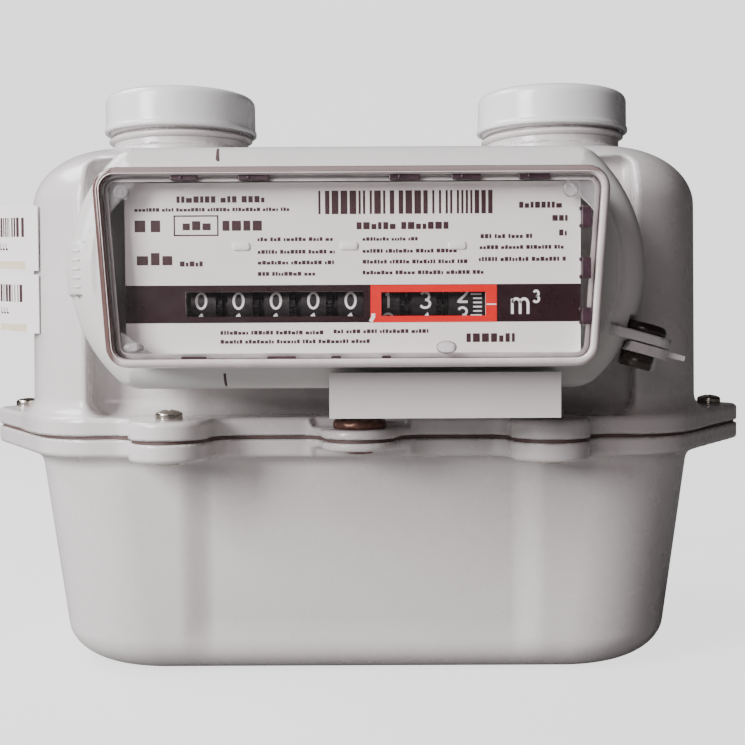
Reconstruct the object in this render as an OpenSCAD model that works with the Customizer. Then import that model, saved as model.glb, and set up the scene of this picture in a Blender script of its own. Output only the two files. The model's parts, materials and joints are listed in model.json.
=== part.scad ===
// Domestic diaphragm gas meter with two top connections and a roller counter.
// Millimetres. +Z is up, -Y is the front. The origin is on the base plane,
// midway between the two pipe connections.

/* [Casing] */
// Distance between the two pipe connections
port_spacing = 110; // [108:1:112]
// Height of the joint between the two casing halves
joint_z = 63; // [61:1:64]
// Height of the flat roof of the upper casing
roof_z = 140; // [139:1:142]
// Half the width of the upper casing at its foot
upper_half_w = 91.4; // [90:0.2:92]
// Half the width of the lower casing at its rim
lower_half_w = 90.1; // [89:0.1:91]
// Half the depth of both casings
casing_half_d = 52.5; // [52:0.5:53]
// Plan radius of the casing corners
corner_r = 29; // [27:1:30]
// Wall thickness of the castings
wall = 3.5; // [3:0.1:4]
// Thickness of each flange
flange_t = 4.8; // [4.5:0.1:5]

/* [Connections] */
// Outside radius of the G 1 1/4 connection thread
thread_r = 20.95; // [20.9:0.01:21]
// Bore radius of a connection
port_bore_r = 17.5; // [17:0.1:18]
// Outside radius of a dust cap
cap_r = 22.2; // [22.1:0.1:22.6]
// Height of a dust cap
cap_h = 11.3; // [10:0.1:12]

/* [Index] */
// Half the width of the grey index housing
housing_half_w = 68.6; // [67:0.1:69]
// Half the height of the grey index housing
housing_half_h = 28.7; // [28:0.1:29]
// Half the width of the clear cover at its top
cover_half_w = 56.6; // [56:0.1:57]
// Half the height of the clear cover
cover_half_h = 22; // [21.9:0.1:22.4]
// How far the clear cover's front is in front of the connections
cover_front = 98; // [97:0.5:99]

/* [Counter] */
// Height of the counter's wheel axis
counter_z = 95.7; // [95:0.1:96.4]
// Distance between neighbouring number wheels
wheel_pitch = 8.3; // [8.3:0.1:8.4]
// Radius of a number wheel
wheel_r = 7.6; // [7.4:0.1:7.7]
// Radial running clearance of wheels and gears on their shafts
run_fit = 0.06; // [0.04:0.01:0.08]

/* [Measuring unit] */
// Half the width of the measuring unit
unit_half_w = 67; // [66:0.5:68]
// Half the depth of the measuring unit
unit_half_d = 36; // [35.5:0.5:36]
// Throw of the crank
crank_throw = 6.7; // [6:0.1:7]

/* [Hidden] */
WHEELS = 8;
PINIONS = WHEELS - 1;
$fn = 48;
EPS = 0.01;

// Casing
gasket_t = 0.6;
seal_lug_half_w = 12.5;
seal_lug_top = 65.7;
seal_lug_foot = 60.5;
lower_flange_top = joint_z - gasket_t / 2;
upper_flange_foot = joint_z + gasket_t / 2;
upper_flange_top = upper_flange_foot + flange_t;
shoulder_h = 16;
shoulder_w = 22;
foot_h = 10;
foot_w = 14;
foot_half_w = lower_half_w - 7;
foot_half_d = casing_half_d - 1.5;
panel_half_w = 43;
panel_y = casing_half_d - 6.6;
recess_half_w = 70.5;
recess_y = -41;
recess_top_z = 135;
port_x = port_spacing / 2;
port_top_z = roof_z + 16;
cap_foot_z = roof_z + 19.5 - cap_h;
screw_xy = [[47.5, 61.5], [102, 0]];
lobe_r = 10;
centre_lobe_y = 60.5;

// Index
index_z = 105;
cover_z = 103.9;
cover_corner_r = 5;
cover_taper = 2.4;
cover_wall = 2;
housing_front = 78;
housing_back = 41.8;
housing_wall = 2.5;
opening_half_w = 46;
ear_x = 66.2;
ear_y = -72.5;
ear_z = 87;
ear_tilt = 15.5;
ear_half_d = 7;
ear_right = 8.6;
ear_t = 2.4;
ear_gap = 0.3;
bracket_t = 2.3;
seal_x = 1.6;
seal_head_r = 5.4;
seal_bore_r = 1.7;
label_y = -91;
label_half_w = 50.8;
label_half_h = 19.1;
window_half_h = 3;

// Counter and its gears
counter_y = -81.3;
first_wheel_x = -33.8;
shaft_r = 1.5;
pinion_shaft_r = 0.9;
transfer_distance = 9;
wheel_teeth = 20;
pinion_teeth = 8;
pinion_y = counter_y + transfer_distance;
wheel_gear_r = transfer_distance * wheel_teeth / (wheel_teeth + pinion_teeth);
pinion_gear_r = transfer_distance - wheel_gear_r;
cheek_left_x = -41;
cheek_right_x = 32.5;
cheek_t = 1.5;
drive_x = 38;
drive_teeth = 21;
drive_pitch_r = 7;
crown_teeth = 36;
crown_hub_r = 3;
crown_pitch_r = drive_pitch_r * crown_teeth / drive_teeth;
crown_x = drive_x + crown_pitch_r;
train_module_r = 0.4; // pitch radius per tooth
output_teeth = 20;
idler_teeth = 24;
input_teeth = 28;
train_y = -50;
train_w = 4;
idler_x = crown_x - train_module_r * (output_teeth + idler_teeth);
input_x = idler_x - train_module_r * (idler_teeth + input_teeth);
drive_shaft_r = 2;
worm_teeth = 20;
worm_pitch_r = 3;
worm_wheel_r = input_x - worm_pitch_r;
worm_lead = 2 * PI * worm_wheel_r / worm_teeth;

// Measuring unit
unit_foot_z = 8;
unit_top_z = 76;
unit_wall = 2.5;
unit_mid_z = 42;
pan_y = 20;
rod_x = -62;
rod_y = 11;
rod_r = 1.5;
arm_x = -30;
arm_y = 28;
flag_length = 44;
valve_plate_top = 82;
seat_top_z = 84;
valve_foot_z = 84.3;
valve_top_z = 86.2;
crank_z = 108;
link_t = 1.5;
link_gap = 0.4;
duct_r = 13;

PAINT = [0.8, 0.79, 0.78];
GREY = [0.76, 0.75, 0.74];
DARK = [0.12, 0.08, 0.08];
STEEL = [0.62, 0.62, 0.64];
WHITE = [0.92, 0.91, 0.9];
NYLON = [0.88, 0.86, 0.8];

// ---------------------------------------------------------------- helpers

// Points of a gear outline with straight-flanked teeth, one tooth at angle start.
function gear_points(teeth, root_r, tip_r, share, start = 0) = [
    for (i = [0:teeth - 1], c = [[root_r, -0.62], [tip_r, -0.36], [tip_r, 0.36], [root_r, 0.62]])
        let (a = start + 360 / teeth * (i + c[1] * share)) c[0] * [cos(a), sin(a)]];

module gear(teeth, pitch_r, add, ded, share, width, bore_r, start = 0) {
    difference() {
        linear_extrude(width)
            polygon(gear_points(teeth, pitch_r - ded, pitch_r + add, share, start));
        translate([0, 0, -1]) cylinder(r = bore_r, h = width + 2);
    }
}

// Places children's +Z along +X, with the start at x.
module along_x(x, y, z) {
    translate([x, y, z]) rotate([0, 90, 0]) children();
}

// Places children's +Z along -Y, with the start at y.
module along_front(x, y, z) {
    translate([x, y, z]) rotate([90, 0, 0]) children();
}

module at_four(x, y) {
    for (sx = [-1, 1], sy = [-1, 1]) translate([sx * x, sy * y]) children();
}

module rounded_rect(half_w, half_h, r) {
    at_four(half_w - r, half_h - r) circle(r);
    square([2 * (half_w - r), 2 * half_h], center = true);
    square([2 * half_w, 2 * (half_h - r)], center = true);
}

// One smooth body through plan outlines [height, half width, half depth, corner radius].
module plan_stack(levels) {
    hull()
        for (l = levels, sx = [-1, 1], sy = [-1, 1])
            translate([sx * (l[1] - l[3]), sy * (l[2] - l[3]), l[0]])
                cylinder(r = l[3], h = EPS, $fn = 32);
}

// ---------------------------------------------------------------- casing

// Outline of both flanges, grown by grow.
module flange_outline(grow = 0) {
    offset(r = grow - 7) offset(r = 7) {
        hull() {
            at_four(68, 35) circle(20);
            for (s = [-1, 1]) translate([s * 100, 0]) circle(lobe_r);
        }
        at_four(screw_xy[0][0], screw_xy[0][1]) circle(lobe_r);
        for (s = [-1, 1]) translate([0, s * centre_lobe_y]) circle(lobe_r - 0.5);
    }
}

module flange_holes(z, h) {
    translate([0, 0, z - 1]) {
        at_four(screw_xy[0][0], screw_xy[0][1]) cylinder(r = 2.2, h = h + 2);
        for (s = [-1, 1]) {
            translate([s * screw_xy[1][0], 0]) cylinder(r = 2.2, h = h + 2);
            translate([0, s * centre_lobe_y]) cylinder(r = 2.2, h = h + 2);
        }
    }
}

// The lower casing widens from its rounded foot to its rim.
function lower_levels(inset) = concat(
    [for (a = [90:-15:0])
        let (lean = foot_w * (1 - cos(a)))
        [foot_h - (foot_h - inset) * sin(a), foot_half_w - lean - inset,
         foot_half_d - lean - inset, corner_r - lean - inset]],
    [[joint_z, lower_half_w - inset, casing_half_d - inset, corner_r - inset]]);

function upper_levels(inset) = concat(
    [[upper_flange_foot - 0.2, upper_half_w - inset, casing_half_d - inset, corner_r - inset]],
    [for (a = [0:15:90])
        let (lean = 1 + shoulder_w * (1 - cos(a)))
        [roof_z - shoulder_h + (shoulder_h - inset) * sin(a), upper_half_w - lean - inset,
         casing_half_d - lean - inset, corner_r - inset - shoulder_w * (1 - cos(a))]]);

// Block outside the recessed panel on side s, leaning with the casing's draft.
module panel_block(s, y, half_w) {
    translate([-half_w, s * y, 6]) rotate([s * -4.8, 0, 0])
        translate([0, s > 0 ? 0 : -20, 0]) cube([2 * half_w, 20, 51]);
}

module lower_casing() color(PAINT) {
    difference() {
        union() {
            plan_stack(lower_levels(0));
            linear_extrude(0.6)
                rounded_rect(foot_half_w - foot_w, foot_half_d - foot_w, corner_r - foot_w);
            translate([0, 0, lower_flange_top - flange_t + 0.3])
                linear_extrude(flange_t - 0.3) flange_outline();
        }
        difference() {
            plan_stack(lower_levels(wall));
            for (s = [-1, 1]) panel_block(s, panel_y - 3, panel_half_w + 3);
        }
        for (s = [-1, 1]) panel_block(s, panel_y, panel_half_w);
        translate([-seal_lug_half_w, -80, seal_lug_foot - 10])
            cube([2 * seal_lug_half_w, 25, 10]);
        flange_holes(lower_flange_top - flange_t, flange_t);
        translate([-120, -120, lower_flange_top]) cube([240, 240, 5]);
    }
}

module port() {
    cylinder(r = thread_r, h = port_top_z - roof_z + 12);
}

module upper_casing() color(PAINT) {
    difference() {
        union() {
            difference() {
                union() {
                    plan_stack(upper_levels(0));
                    translate([0, 0, upper_flange_foot])
                        linear_extrude(flange_t) flange_outline();
                }
                translate([-recess_half_w, -80, upper_flange_top])
                    cube([2 * recess_half_w, 80 + recess_y, recess_top_z - upper_flange_top]);
                difference() {
                    plan_stack(upper_levels(wall));
                    translate([-recess_half_w - wall, -80, joint_z - 9])
                        cube([2 * (recess_half_w + wall), 80 + recess_y + wall, 90]);
                }
            }
            for (s = [-1, 1]) translate([s * port_x, 0, roof_z - 12]) port();
            along_front(input_x, recess_y + 5, counter_z) cylinder(r = 8, h = 4);
        }
        for (s = [-1, 1])
            translate([s * port_x, 0, roof_z - 20]) cylinder(r = port_bore_r, h = 50);
        along_front(input_x, recess_y + 10, counter_z) cylinder(r = 5, h = 20);
        for (s = [-1, 1])
            along_front(s * 40, recess_y + 10, index_z + 12) cylinder(r = 1.6, h = 20);
        translate([-seal_lug_half_w, -80, seal_lug_top])
            cube([2 * seal_lug_half_w, 26.7, flange_t]);
        flange_holes(upper_flange_foot, flange_t);
        translate([-120, -120, upper_flange_foot - 5]) cube([240, 240, 5]);
    }
}

module casing_gasket() color(DARK) {
    translate([0, 0, lower_flange_top])
        difference() {
            linear_extrude(gasket_t) flange_outline(-0.8);
            linear_extrude(3 * gasket_t, center = true) rounded_rect(84, 46, 24);
            flange_holes(0, gasket_t);
        }
}

// Pan-head screw with a flat round nut under the lower flange.
module flange_screw() {
    nut_t = 0.9;
    foot = lower_flange_top - flange_t - nut_t;
    translate([0, 0, foot]) cylinder(r = 2, h = upper_flange_top - foot + 0.5);
    translate([0, 0, upper_flange_top])
        rotate_extrude()
            polygon([[0, 0], [3.4, 0], [3.4, 0.9], [3.0, 1.8], [2.1, 2.4], [0, 2.6]]);
    translate([0, 0, foot]) cylinder(r = 4.4, h = nut_t);
}

module flange_screws() color(STEEL) {
    at_four(screw_xy[0][0], screw_xy[0][1]) flange_screw();
    for (s = [-1, 1]) translate([s * screw_xy[1][0], 0]) flange_screw();
    translate([0, centre_lobe_y]) flange_screw();
}

// Sealing screw of the flange, under a crimped disc.
module casing_seal() color([0.3, 0.2, 0.17]) {
    nut_t = 1;
    foot = seal_lug_foot - nut_t;
    translate([0, -centre_lobe_y, 0]) {
        translate([0, 0, seal_lug_top])
            rotate_extrude()
                polygon([[0, 0], [6.4, 0], [6.75, 0.6], [6.6, 1.6], [5.8, 2.2], [5, 2], [0, 2]]);
        translate([0, 0, foot]) cylinder(r = 2, h = seal_lug_top - foot + 1);
        translate([0, 0, foot]) cylinder(r = 3.5, h = nut_t);
    }
}

module dust_cap() color([0.86, 0.86, 0.86]) {
    translate([0, 0, cap_foot_z])
        rotate_extrude()
            polygon([[thread_r + 0.1, 0], [cap_r, 0], [cap_r, 1.2], [cap_r - 0.25, 1.5],
                     [cap_r - 0.35, cap_h - 2], [cap_r - 0.8, cap_h - 0.9],
                     [cap_r - 1.8, cap_h - 0.25], [cap_r - 3, cap_h], [0, cap_h],
                     [0, cap_h - 1.8], [thread_r + 0.1, cap_h - 1.8]]);
}

module inlet_cap() { translate([-port_x, 0, 0]) dust_cap(); }
module outlet_cap() { translate([port_x, 0, 0]) dust_cap(); }

// ---------------------------------------------------------------- index

module housing_outline(inset = 0) {
    end_r = 36.5 - inset;
    end_x = housing_half_w - 36.5;
    intersection() {
        union() {
            for (s = [-1, 1]) translate([s * end_x, 0]) circle(end_r, $fn = 96);
            square([2 * end_x, 2 * end_r], center = true);
        }
        square([200, 2 * (housing_half_h - inset)], center = true);
    }
}

// Frame of the tilted sealing ear.
module at_ear() {
    translate([ear_x, ear_y, ear_z]) rotate([0, ear_tilt, 0]) children();
}

// Outline of the sealing ear from local x = left to its rounded right end.
module ear_outline(left) {
    r = ear_half_d;
    hull() {
        translate([ear_right - r, 0]) circle(r);
        translate([left, -r + 3.5]) square([1, 2 * r - 3.5]);
        translate([left + 3.5, -r]) square([1, 2 * r]);
    }
}

module index_housing() color(GREY) {
    depth = housing_front - housing_back;
    difference() {
        union() {
            along_front(0, -housing_back, index_z) linear_extrude(depth - 3) housing_outline();
            along_front(0, -housing_back, index_z) linear_extrude(depth) housing_outline(3);
            at_ear()
                translate([0, 0, ear_gap / 2]) linear_extrude(ear_t) ear_outline(-9.3);
        }
        at_ear()
            translate([seal_x, 0, 0]) {
                cylinder(r = seal_bore_r, h = 10, center = true);
                translate([0, 0, ear_gap / 2 + ear_t]) cylinder(r = seal_head_r + 0.4, h = 3.2);
            }
        along_front(0, -housing_back - housing_wall, index_z)
            linear_extrude(depth - 2 * housing_wall - 0.6) housing_outline(housing_wall + 0.5);
        along_front(0, -housing_front + 10, cover_z)
            linear_extrude(20) rounded_rect(opening_half_w, cover_half_h - 3, 3);
        along_front(input_x, -housing_back + 5, counter_z) cylinder(r = 6, h = 10);
        for (s = [-1, 1])
            along_front(s * 40, -housing_back + 5, index_z + 12) cylinder(r = 2.1, h = 10);
    }
    // axles of the gear train
    for (x = [idler_x, crown_x])
        along_front(x, -housing_back - 1, counter_z)
            cylinder(r = shaft_r, h = x == crown_x ? 30 : 11);
}

module index_gasket() color(DARK) {
    along_front(0, recess_y, index_z)
        difference() {
            linear_extrude(housing_back + recess_y) housing_outline(2);
            translate([0, 0, -1]) linear_extrude(4) housing_outline(5);
        }
}

module index_screws() color(STEEL) {
    head_y = -housing_back - housing_wall;
    for (s = [-1, 1])
        translate([s * 40, 0, index_z + 12]) {
            along_front(0, recess_y + 6, 0)
                cylinder(r = 1.6, h = recess_y + 6 - head_y);
            along_front(0, head_y, 0) cylinder(r = 3.4, h = 2.2);
        }
}

// Outline of the clear cover, which narrows towards its foot.
module cover_outline(inset) {
    r = cover_corner_r - inset;
    y = cover_half_h - cover_corner_r;
    top = [cover_half_w - cover_corner_r, y];
    foot = [top[0] - cover_taper, -y];
    lean = atan2(cover_taper, 2 * y);
    side = r * [cos(lean), -sin(lean)];
    right = [top + [0, r], top + side, foot + side, foot - [0, r]];
    polygon(concat(right, [for (i = [3:-1:0]) [-right[i][0], right[i][1]]]));
    for (c = [top, foot], s = [-1, 1]) translate([s * c[0], c[1]]) circle(r);
}

module index_cover() color([0.9, 0.93, 0.95, 0.35]) {
    depth = cover_front - housing_front;
    along_front(0, -housing_front, cover_z)
        difference() {
            union() {
                linear_extrude(depth - 1.2) cover_outline(0);
                linear_extrude(depth) cover_outline(1.2);
            }
            translate([0, 0, -1]) linear_extrude(depth - cover_wall + 1) cover_outline(cover_wall);
        }
}

module label_plate() color(WHITE) {
    red_window = [6.3, 29.6];
    black_window = [-37.4, 2.3];
    along_front(0, label_y + 0.5, cover_z)
        difference() {
            linear_extrude(1) rounded_rect(label_half_w, label_half_h, 1);
            for (w = [red_window, black_window])
                translate([w[0], counter_z - cover_z - window_half_h, -1])
                    cube([w[1] - w[0], 2 * window_half_h, 4]);
        }
    // legs that stand on the housing front
    for (sx = [-1, 1], sz = [-1, 1])
        along_front(sx * (label_half_w - 1.6), -housing_front, cover_z + sz * (label_half_h - 1.6))
            cylinder(r = 1.5, h = -label_y - housing_front - 0.5);
}

module counter_frame() color(STEEL) {
    front = -88.5;
    web_y = -60;
    side_h = 15.4;
    foot_z = counter_z - side_h / 2;
    difference() {
        union() {
            for (x = [cheek_left_x, cheek_right_x])
                translate([x, front, foot_z]) cube([cheek_t, web_y - front + 1.5, side_h]);
            translate([cheek_left_x, web_y, foot_z])
                cube([cheek_right_x - cheek_left_x + cheek_t, 1.5, side_h]);
            for (x = [-37, -14])
                translate([x, web_y, foot_z + 2])
                    cube([6, -housing_back - housing_wall - web_y, side_h - 4]);
        }
        along_x(cheek_left_x - 5, counter_y, counter_z) cylinder(r = shaft_r + run_fit, h = 90);
        along_x(cheek_left_x - 5, pinion_y, counter_z) cylinder(r = pinion_shaft_r, h = 90);
    }
}

module counter_shaft() color(STEEL)
    along_x(cheek_left_x - 1, counter_y, counter_z)
        cylinder(r = shaft_r, h = drive_x + 3 - cheek_left_x);

module pinion_shaft() color(STEEL)
    along_x(cheek_left_x - 0.5, pinion_y, counter_z)
        cylinder(r = pinion_shaft_r, h = cheek_right_x - cheek_left_x + cheek_t + 1);

// Number wheel k: digit rim, transfer disc on its left, driven gear on its right.
module number_wheel(k) {
    last = k == WHEELS;
    rim_left = 2.9;
    rim_right = last ? 6 : 2.7;
    disc_r = transfer_distance - pinion_gear_r - 1.4;
    bore = last ? shaft_r : shaft_r + run_fit;
    x = first_wheel_x + (k - 1) * wheel_pitch;
    color([0.1, 0.09, 0.09])
        along_x(x - rim_left, counter_y, counter_z)
            difference() {
                union() {
                    cylinder(r = wheel_r, h = rim_left + rim_right, $fn = 96);
                    if (k > 1) {
                        translate([0, 0, -0.9]) cylinder(r = disc_r, h = 1);
                        for (a = [81, 99])
                            rotate(a) translate([disc_r - 1, -0.4, -0.9]) cube([1.6, 0.8, 1]);
                    }
                    if (!last)
                        translate([0, 0, rim_left + rim_right - EPS])
                            gear(wheel_teeth, wheel_gear_r, 0.45, 0.62, 0.45, 1.2, 1);
                }
                translate([0, 0, -5]) cylinder(r = bore, h = 20);
            }
}

// Transfer pinion k sits between number wheels k and k + 1.
module transfer_pinion(k) {
    x = first_wheel_x + (k - 1) * wheel_pitch + 3;
    color(NYLON)
        along_x(x, pinion_y, counter_z)
            gear(pinion_teeth, pinion_gear_r, 0.45, 0.62, 0.45, 2.1, pinion_shaft_r + run_fit,
                 270 + 180 / pinion_teeth);
}

module drive_pinion() color(NYLON)
    along_x(drive_x - 1.4, counter_y, counter_z)
        gear(drive_teeth, drive_pitch_r, 0.45, 0.8, 0.45, 2.8, shaft_r, 90);

// Face gear whose teeth point forward into the drive pinion.
module crown_gear() color(NYLON) {
    face_y = counter_y + drive_pitch_r + 1;
    disc_t = 2.2;
    hub_length = train_y + train_w / 2 - face_y - disc_t;
    along_front(crown_x, face_y + disc_t, counter_z)
        difference() {
            union() {
                cylinder(r = crown_pitch_r + 1.2, h = disc_t);
                for (i = [0:crown_teeth - 1])
                    rotate(360 / crown_teeth * (i + 0.5))
                        translate([crown_pitch_r - 1.2, -0.33, 2]) cube([2.4, 0.66, 1.35]);
                translate([0, 0, -hub_length]) cylinder(r = crown_hub_r, h = hub_length + 1);
            }
            translate([0, 0, -60]) cylinder(r = shaft_r + run_fit, h = 80);
        }
}

module train_gear(x, teeth, bore_r, start) {
    along_front(x, train_y + train_w / 2, counter_z)
        gear(teeth, train_module_r * teeth, 0.65, 0.95, 0.45, train_w, bore_r, start);
}

module output_gear() color(NYLON) train_gear(crown_x, output_teeth, crown_hub_r, 0);
module idler_gear() color(NYLON)
    train_gear(idler_x, idler_teeth, shaft_r + run_fit, 180 / idler_teeth);
module input_gear() color(NYLON) train_gear(input_x, input_teeth, drive_shaft_r, 0);

module drive_shaft() color(STEEL)
    along_front(input_x, 10, counter_z) cylinder(r = drive_shaft_r, h = 10 - train_y + 3);

module shaft_gland() color([0.7, 0.58, 0.3])
    along_front(input_x, recess_y + 8, counter_z)
        difference() {
            union() {
                cylinder(r = 5, h = 8);
                cylinder(r = 7, h = 3);
            }
            translate([0, 0, -1]) cylinder(r = drive_shaft_r + run_fit, h = 12);
        }

module worm_wheel() color(NYLON)
    along_front(input_x, 1.5, counter_z)
        gear(worm_teeth, worm_wheel_r, 0.5, 0.9, 0.5, 3, drive_shaft_r, 180 / worm_teeth);

// Plain box under the clear cover that a pulse sender clips into.
module pulse_module() color(GREY) {
    left = -5.7;
    width = 52.6;
    foot = 70;
    front = 88;
    step_y = 78.6;
    back = 68.2;
    profile = [[front, foot], [front, 80.4], [step_y, 80.4], [step_y, 75.9], [back, 75.9],
               [back, foot]];
    difference() {
        translate([left, 0, 0])
            rotate([90, 0, 90])
                linear_extrude(width) polygon([for (p = profile) [-p[0], p[1]]]);
        translate([left + 2, -front + 2, foot - 1]) cube([width - 4, front - back - 4, 5]);
    }
}

// Ear on the casing under the ear of the index housing, with its foot and a small tab.
module seal_bracket() color(PAINT)
    difference() {
        at_ear()
            difference() {
                union() {
                    translate([0, 0, -ear_gap / 2 - bracket_t])
                        linear_extrude(bracket_t) ear_outline(-5);
                    translate([3.5, 5, -5.5]) cube([4, 18, 5.3]);
                    translate([6, -2, -1.4]) cube([6.4, 5, 1.2]);
                }
                translate([seal_x, 0, -10]) cylinder(r = seal_bore_r, h = 12);
            }
        along_front(0, -housing_back, index_z) linear_extrude(40) housing_outline(-0.4);
    }

module index_seal() color([0.26, 0.24, 0.22]) {
    top = ear_gap / 2 + ear_t;
    under = -ear_gap / 2 - bracket_t;
    stub_h = 3.4;
    at_ear()
        translate([seal_x, 0, 0]) {
            translate([0, 0, top]) cylinder(r = seal_head_r, h = 2.4);
            translate([0, 0, under - stub_h]) cylinder(r = 1.5, h = top - under + stub_h + 1);
            translate([0, 0, under - stub_h]) cylinder(r = 4, h = stub_h);
        }
}

// Two paper labels stuck to the casing's front left corner, with their free ends
// standing out to the left.
module side_labels() color(WHITE)
    for (z = [[90, 15.6], [106.6, 17.2]])
        translate([-99.4, -31.3, z[0]]) rotate([0, 0, -35])
            translate([0, -0.4, 0]) cube([16.9, 0.4, z[1]]);

// ---------------------------------------------------------------- measuring unit

module measuring_body() color([0.2, 0.22, 0.25]) {
    height = unit_top_z - unit_foot_z;
    rim = unit_half_d - 2;
    difference() {
        translate([-unit_half_w, -rim, unit_foot_z]) cube([2 * unit_half_w, 2 * rim, height]);
        for (s = [-1, 1])
            translate([-unit_half_w + unit_wall, s > 0 ? unit_wall / 2 : -rim - 1,
                       unit_foot_z + unit_wall])
                cube([2 * (unit_half_w - unit_wall), rim + 1 - unit_wall / 2,
                      height - 2 * unit_wall]);
        for (s = [-1, 1])
            translate([rod_x, s * rod_y, unit_top_z - 10]) cylinder(r = rod_r + run_fit, h = 20);
    }
}

module chamber_cover() color([0.25, 0.27, 0.3]) {
    height = unit_top_z - unit_foot_z;
    along_front(0, unit_half_d, unit_foot_z + height / 2) {
        linear_extrude(2) rounded_rect(unit_half_w, height / 2, 4);
        for (x = [-40, 0, 40]) translate([x - 1, -height / 2 + 8, -1.2]) cube([2, height - 16, 1.3]);
    }
}

module front_chamber_cover() { mirror([0, 1, 0]) chamber_cover(); }
module rear_chamber_cover() { chamber_cover(); }

module diaphragm() color([0.16, 0.15, 0.14])
    along_front(0, pan_y + 0.5, unit_mid_z) {
        difference() {
            linear_extrude(1) rounded_rect(54, 27, 14);
            translate([0, 0, -1]) linear_extrude(3) rounded_rect(42, 16, 10);
        }
        translate([0, 0, 1 - EPS])
            difference() {
                linear_extrude(1.4) rounded_rect(51, 24.5, 12);
                translate([0, 0, -1]) linear_extrude(4) rounded_rect(48, 21.5, 10);
            }
    }

// Stiff pan in the middle of the diaphragm, with two ears for the flag's pin.
module pan() color(STEEL) {
    ear_z = 12.4;
    along_front(0, pan_y + 0.5, unit_mid_z) linear_extrude(1) rounded_rect(42, 16, 10);
    along_front(0, pan_y + 1.5, unit_mid_z) linear_extrude(1) rounded_rect(44.5, 18.5, 11);
    for (s = [-1, 1])
        translate([rod_x + flag_length - 5, 9.5, unit_mid_z + s * ear_z - 1])
            cube([10, pan_y - 9, 2]);
}

module front_diaphragm() { mirror([0, 1, 0]) diaphragm(); }
module rear_diaphragm() { diaphragm(); }
module front_pan() { mirror([0, 1, 0]) pan(); }
module rear_pan() { pan(); }

// Vertical rod with the flag inside the chamber and an arm above the valve plate.
// The link's pin stands pin_h above the arm.
module flag_rod(pin_h) color(STEEL) {
    arm_z = crank_z + 0.5;
    arm_t = 2;
    arm_length = norm([arm_x - rod_x, arm_y - rod_y]);
    arm_angle = atan2(arm_y - rod_y, arm_x - rod_x);
    translate([rod_x, rod_y, unit_foot_z + unit_wall + 1])
        cylinder(r = rod_r, h = arm_z + arm_t - unit_foot_z - unit_wall - 1);
    translate([rod_x, rod_y - 0.6, unit_mid_z - 10]) cube([flag_length, 1.2, 20]);
    translate([rod_x + flag_length, rod_y, unit_mid_z - 11]) cylinder(r = 1.5, h = 22);
    translate([rod_x, rod_y, arm_z]) rotate(arm_angle) {
        cylinder(r = 3.5, h = arm_t);
        translate([0, -2.5, 0]) cube([arm_length, 5, arm_t]);
        translate([arm_length, 0, 0]) cylinder(r = 3, h = arm_t);
        translate([arm_length, 0, 0]) cylinder(r = shaft_r, h = arm_t + pin_h);
    }
}

module front_flag_rod() { mirror([0, 1, 0]) flag_rod(3.5); }
module rear_flag_rod() { flag_rod(5.5); }

// Connecting link from a flag arm's pin to the crank pin.
module link(z) color(STEEL) {
    reach = norm([crank_throw - arm_x, arm_y]);
    translate([arm_x, arm_y, z]) rotate(atan2(-arm_y, crank_throw - arm_x))
        difference() {
            union() {
                cylinder(r = 3, h = link_t);
                translate([0, -1.6, 0]) cube([reach, 3.2, link_t]);
                translate([reach, 0, 0]) cylinder(r = 3, h = link_t);
            }
            for (x = [0, reach]) translate([x, 0, -1]) cylinder(r = shaft_r + run_fit, h = 4);
        }
}

front_link_z = crank_z + 3.8;
rear_link_z = front_link_z + link_t + link_gap;
module front_link() { mirror([0, 1, 0]) link(front_link_z); }
module rear_link() { link(rear_link_z); }

// Plate over the chambers with the valve seat and the outlet channel.
module valve_plate() color(NYLON)
    difference() {
        union() {
            translate([-unit_half_w, -unit_half_d + 0.5, unit_top_z])
                cube([2 * unit_half_w, 2 * unit_half_d - 1, valve_plate_top - unit_top_z]);
            translate([0, 0, valve_plate_top - EPS]) cylinder(r = 26, h = seat_top_z - valve_plate_top);
        }
        for (a = [45:90:315])
            rotate(a) translate([16, 0, unit_top_z - 1]) cylinder(r = 5, h = 20);
        translate([0, 0, unit_top_z + 1.5]) cylinder(r = 5, h = 20);
        translate([port_x, 0, unit_top_z + 1.5]) cylinder(r = duct_r - 2, h = 20);
        translate([0, -4, unit_top_z + 1.5]) cube([port_x, 8, 3]);
        for (s = [-1, 1])
            translate([rod_x, s * rod_y, unit_top_z - 1]) cylinder(r = rod_r + run_fit, h = 20);
    }

module rotary_valve() color(NYLON)
    translate([0, 0, valve_foot_z])
        difference() {
            cylinder(r = 24, h = valve_top_z - valve_foot_z);
            translate([0, 0, -1])
                difference() {
                    intersection() {
                        cylinder(r = 21.5, h = 10);
                        translate([4, -30, 0]) cube([30, 60, 10]);
                    }
                    cylinder(r = 10.5, h = 12);
                }
            translate([0, 0, -1]) cylinder(r = 2.2, h = 10);
        }

// Vertical shaft with the worm thread and the crank arm on top.
module crank() color(STEEL) {
    root_r = 2.2;
    tip_r = 3.6;
    worm_h = 10;
    worm_foot = counter_z - worm_h / 2;
    translate([0, 0, valve_foot_z]) cylinder(r = root_r, h = crank_z + 1 - valve_foot_z);
    translate([0, 0, worm_foot])
        rotate(-180 * worm_h / worm_lead)
            linear_extrude(worm_h, twist = -360 * worm_h / worm_lead, slices = 36, $fn = 12)
                polygon(concat([for (a = [60:60:300]) (root_r - 0.3) * [cos(a), sin(a)]],
                               [for (a = [-40:20:40]) tip_r * [cos(a), sin(a)]]));
    translate([0, 0, crank_z]) {
        cylinder(r = 4, h = 2.5);
        translate([0, -2.5, 0]) cube([crank_throw, 5, 2.5]);
        translate([crank_throw, 0, 0]) cylinder(r = 3, h = 2.5);
        translate([crank_throw, 0, 0]) cylinder(r = shaft_r, h = 3.4);
    }
}

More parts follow.
